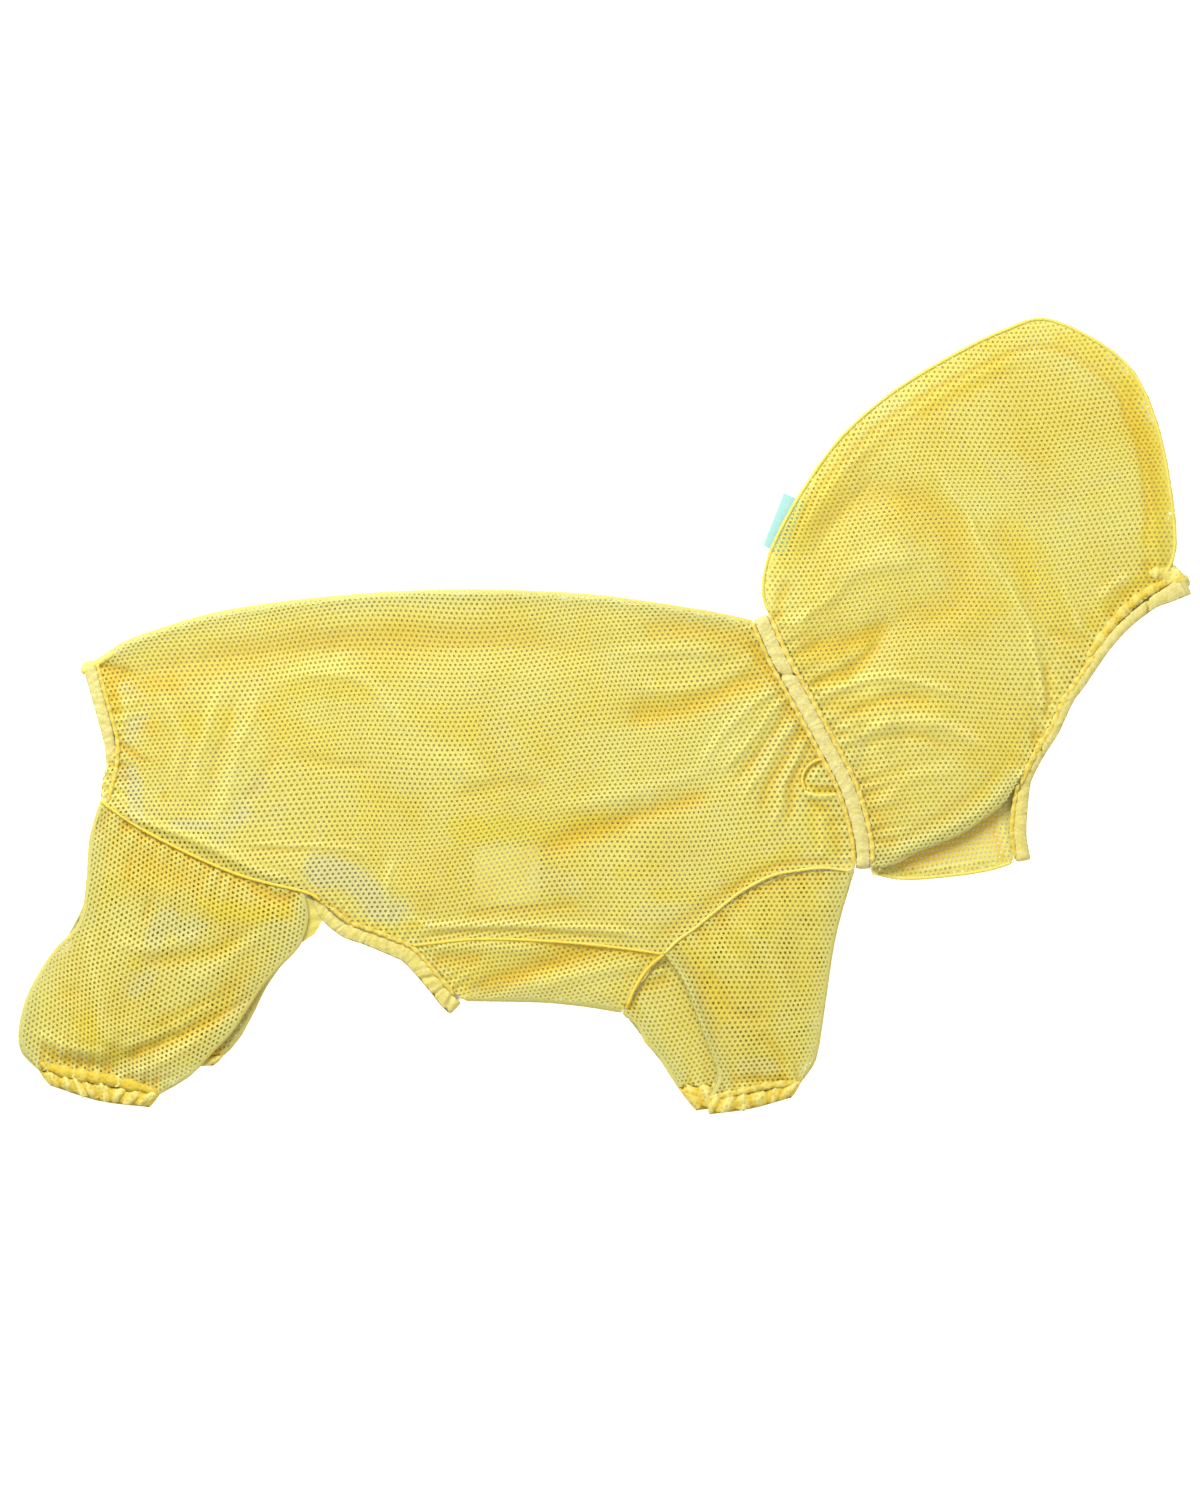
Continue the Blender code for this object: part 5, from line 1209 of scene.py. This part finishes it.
class Look:
    """A material under construction."""

    def __init__(self, name):
        self.material = bpy.data.materials.new(name)
        self.material.use_nodes = True
        self.tree = self.material.node_tree
        self.tree.nodes.clear()

    def add(self, kind, settings=None, inputs=None, output=0):
        node = self.tree.nodes.new(kind)
        for key, value in (settings or {}).items():
            setattr(node, key, value)
        for key, value in (inputs or {}).items():
            if isinstance(value, Value):
                self.tree.links.new(value.socket, node.inputs[key])
            else:
                node.inputs[key].default_value = value
        return Value(self, node.outputs[output])

    def spot(self):
        """The place on the piece, in its own coordinates."""
        return self.add("ShaderNodeTexCoord", output=3)

    def painted(self, name):
        """A number that was painted on the piece."""
        return self.add("ShaderNodeAttribute", {"attribute_name": name}, output=2)

    def mix(self, share, a, b):
        return self.add("ShaderNodeMix", {"data_type": "RGBA", "clamp_factor": True},
                        {0: share, 6: a, 7: b}, output=2)

    def noise(self, place, scale, detail=2.0):
        return self.add("ShaderNodeTexNoise", None, {"Vector": place, "Scale": scale, "Detail": detail})

    def cells(self, place, scale):
        return self.add("ShaderNodeTexVoronoi", None, {"Vector": place, "Scale": scale})

    def cloth(self, base, roughness, specular, sheen, relief, strength, depth):
        """A woven or knitted surface, with a fine relief that is depth metres deep."""
        bump = self.add("ShaderNodeBump", None, {"Strength": strength, "Distance": depth, "Height": relief})
        return self.add("ShaderNodeBsdfPrincipled", None, {
            "Base Color": base, "Roughness": roughness, "Specular IOR Level": specular, "Sheen Weight": sheen,
            "Sheen Roughness": 0.5, "Normal": bump})

    def finish(self, shader):
        node = self.tree.nodes.new("ShaderNodeOutputMaterial")
        self.tree.links.new(shader.socket, node.inputs["Surface"])
        return self.material


def net_finish():
    """Bright yellow knitted net, faintly mottled, with painted highlights along ridges and folds, painted
    golden shade in troughs, and painted shade on the far layer.
    """
    look = Look("yellow_net")
    spot = look.spot()
    tint, rim, pale, under = (look.painted(name) for name in ("tint", "rim", "pale", "under"))
    patches = look.noise(spot, 30.0, 3.0)
    streaks = look.noise(spot, 110.0, 2.0)
    yarn = look.noise(spot, 900.0)
    base = look.mix(patches * 2.6 - 0.8, (0.67, 0.55, 0.065, 1), (0.69, 0.65, 0.19, 1))
    base = look.mix(streaks * 0.8 - 0.15, base, (0.71, 0.65, 0.14, 1))
    base = look.mix(yarn * 0.3, base, (0.76, 0.73, 0.28, 1))
    single = pale.clipped() * pale.clipped()
    base = look.mix(single * 0.85, base, (0.66, 0.635, 0.29, 1))
    base = look.mix((0 - pale).clipped() * 0.75, base, (0.72, 0.60, 0.045, 1))
    # Painted light: a painted highlight along ridges, and a painted golden shade in troughs.
    base = look.mix(tint.clipped() * 0.8, base, (0.80, 0.77, 0.27, 1))
    base = look.mix((0 - tint).clipped() * 0.8, base, (0.70, 0.48, 0.03, 1))
    # Rim: a painted highlight, paler and greyer, where the cloth rounds a fold.
    base = look.mix(rim.clipped() * 0.8, base, (0.58, 0.575, 0.22, 1))
    # Painted shade on the far layer: darker and greyer, and darker still under the pale patches.
    base = look.mix(under * 0.4, base, (0.48, 0.45, 0.12, 1))
    base = look.mix(under * single * 0.9, base, (0.37, 0.345, 0.20, 1))
    cloth = look.cloth(base, 0.62, 0.35, 0.25, yarn, 0.4, 0.0002)
    glow = look.add("ShaderNodeBsdfTranslucent", None, {"Color": base})
    return look.finish(look.add("ShaderNodeMixShader", None, {0: 0.35, 1: cloth, 2: glow}))


def elastic_finish():
    """Pale cream knit over elastic: fine ribs, with a painted golden shade in the gathers' troughs."""
    look = Look("cream_casing")
    spot = look.spot()
    tint, pale = look.painted("tint"), look.painted("pale")
    knit = look.cells(spot, 850.0)
    patches = look.noise(spot, 330.0, 3.0)
    base = look.mix(pale, (0.60, 0.51, 0.09, 1), (0.57, 0.53, 0.24, 1))
    base = look.mix(patches * 1.8 - 0.6, base, (0.66, 0.63, 0.31, 1))
    # Painted golden shade in the troughs of the gathers.
    base = look.mix((0 - tint).clipped() * 0.35, base, (0.48, 0.40, 0.08, 1))
    base = look.mix(knit * 0.8, base, (0.44, 0.38, 0.09, 1))
    return look.finish(look.cloth(base, 0.7, 0.3, 0.3, knit, 0.5, 0.0003))


def cuff_finish():
    """The net drawn up double: a dotted weave, with a painted highlight on the lobes and a painted golden
    shade in the valleys.
    """
    look = Look("gathered_cuff")
    weave = look.cells(look.spot(), WEAVE_SCALE)
    dots = (1 - weave * 1.9).clipped()
    # Painted shading: a painted highlight on the lobes, a painted golden shade in the valleys.
    base = look.mix(look.painted("tint") * 0.5 + 0.5, (0.55, 0.40, 0.02, 1), (0.64, 0.58, 0.18, 1))
    base = look.mix(dots * 0.9, base, (0.34, 0.26, 0.04, 1))
    return look.finish(look.cloth(base, 0.7, 0.3, 0.25, weave, 0.6, 0.0004))


def stitch_finish():
    """Net rolled over a seam, with overlock thread in it, and painted shading: painted highlights on some
    seams and a painted golden shade on others.
    """
    look = Look("overlock_thread")
    spot = look.spot()
    tint = look.painted("tint")
    fibre = look.noise(spot, 1600.0)
    dots = (1 - look.cells(spot, WEAVE_SCALE) * 1.9).clipped()
    base = look.mix(fibre, (0.58, 0.49, 0.07, 1), (0.65, 0.58, 0.14, 1))
    # Painted shading: a painted highlight above 0, a painted golden shade below it.
    base = look.mix(tint.clipped(), base, (0.76, 0.70, 0.20, 1))
    base = look.mix((0 - tint).clipped() * 0.85, base, (0.68, 0.47, 0.03, 1))
    base = look.mix(dots * 0.5, base, (0.42, 0.35, 0.08, 1))
    return look.finish(look.cloth(base, 0.6, 0.35, 0.0, fibre, 0.5, 0.0002))


def label_finish(name, dark, light, roughness):
    """A satin ribbon with a fine rib along it."""
    look = Look(name)
    spot = look.spot()
    rib = look.add("ShaderNodeTexWave", {"bands_direction": "DIAGONAL"}, {"Vector": spot, "Scale": 620.0})
    base = look.mix(rib * 0.5 + look.noise(spot, 700.0) * 0.5, dark, light)
    return look.finish(look.cloth(base, roughness, 0.45, 0.2, rib, 0.35, 0.0001))


def floor_finish():
    """A white floor that glows to a plain white around the garment, painted light that hides the garment's
    shadow there, and doesn't glow under it.
    """
    look = Look("white_floor")
    # The glow is painted light: it whitens the floor round the garment, where the garment's shadow would
    # fall.
    glow = look.mix(look.painted("shaded"), (0.64, 0.66, 0.72, 1), (0.0, 0.0, 0.0, 1))
    return look.finish(look.add("ShaderNodeBsdfPrincipled", None, {
        "Base Color": (0.80, 0.80, 0.79, 1), "Roughness": 0.9, "Emission Color": glow,
        "Emission Strength": 1.0}))


NET = net_finish()
ELASTIC = elastic_finish()
CUFF = cuff_finish()
STITCHED = stitch_finish()
SIDE = label_finish("cyan_ribbon", (0.24, 0.49, 0.48, 1), (0.34, 0.58, 0.56, 1), 0.42)
CARE = label_finish("cream_ribbon", (0.54, 0.51, 0.30, 1), (0.63, 0.62, 0.43, 1), 0.5)


def garment():
    """Cuts and lays the nets, and sews on the bands, cuffs, seams and labels."""
    bolt = net_bolt()
    nets = {cloth.name: sew(cloth, bolt) for cloth in CLOTHS}
    bpy.data.objects.remove(bolt, do_unlink=True)
    for row in CASINGS:
        casing(row)
    for row in CUFFS:
        cuff(row)
    for row in WELTS:
        welt(row)
    for node, rim in TURNS:
        turn(node, rim)
    ribbon("leg_corner", LEG_CORNER, (20, 40), leg_corner, 0.4, NET)
    ribbon("side_tab", SIDE_LABEL, (40, 24), side_tab, 0.25, SIDE, "side_label")
    ribbon("care_tab", CARE_LABEL, (24, 24), care_tab, 0.22, CARE, "care_label")


def ground():
    """A white floor, and a finer one close under the garment whose painted glow is off where the garment
    covers it.
    """
    finish = floor_finish()
    bpy.ops.mesh.primitive_plane_add(size=16.0, location=(0, 0, -0.0003))
    around = bpy.context.object
    columns, rows = 240, 300
    bpy.ops.mesh.primitive_grid_add(x_subdivisions=columns, y_subdivisions=rows, size=1, location=(0, 0, 0))
    below = bpy.context.object
    co = coordinates(below.data) * (0.6, 0.75, 1) - (0, 0, 0.0001)
    set_coordinates(below.data, co)
    trees = [solid(node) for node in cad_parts]
    covered = np.array([any(meets(tree, x, y, UP) for tree in trees) for x, y, _ in co])
    shaded = covered.reshape(rows + 1, columns + 1)
    for closing in (True, False, False):
        moved = [np.roll(shaded, step, axis) for step in (-1, 1) for axis in (0, 1)]
        joined = np.logical_or if closing else np.logical_and
        shaded = joined.reduce([shaded] + moved)
    paint(below, shaded=shaded.ravel())
    for obj, name in ((around, "floor"), (below, "floor_under_garment")):
        obj.name = name
        obj.data.materials.append(finish)


def lights():
    """A broad soft light over the garment's back, a fill, and a warm dim world."""
    world = bpy.data.worlds.new("studio")
    bpy.context.scene.world = world
    world.use_nodes = True
    world.node_tree.nodes["Background"].inputs["Color"].default_value = (1.0, 0.94, 0.80, 1)
    world.node_tree.nodes["Background"].inputs["Strength"].default_value = 0.54
    bpy.context.scene.view_settings.view_transform = "Standard"
    for name, spot, size, power in (("key", (-0.55, 0.95, 1.0), 0.7, 35.0),
                                    ("fill", (0.7, -0.8, 1.4), 1.2, 9.0)):
        lamp = bpy.data.lights.new(name, "AREA")
        lamp.energy = power
        lamp.size = size
        obj = bpy.data.objects.new(name, lamp)
        bpy.context.scene.collection.objects.link(obj)
        obj.location = spot
        obj.rotation_euler = (-Vector(spot)).to_track_quat("-Z", "Y").to_euler()


def camera():
    """A camera straight above, that sees no perspective."""
    lens = bpy.data.cameras.new("camera")
    lens.type = "ORTHO"
    lens.ortho_scale = 0.63
    lens.clip_end = 10.0
    eye = bpy.data.objects.new("camera", lens)
    bpy.context.scene.collection.objects.link(eye)
    eye.location = (-0.0020, -0.0144, 1.2)
    bpy.context.scene.camera = eye


garment()
ground()
lights()
camera()
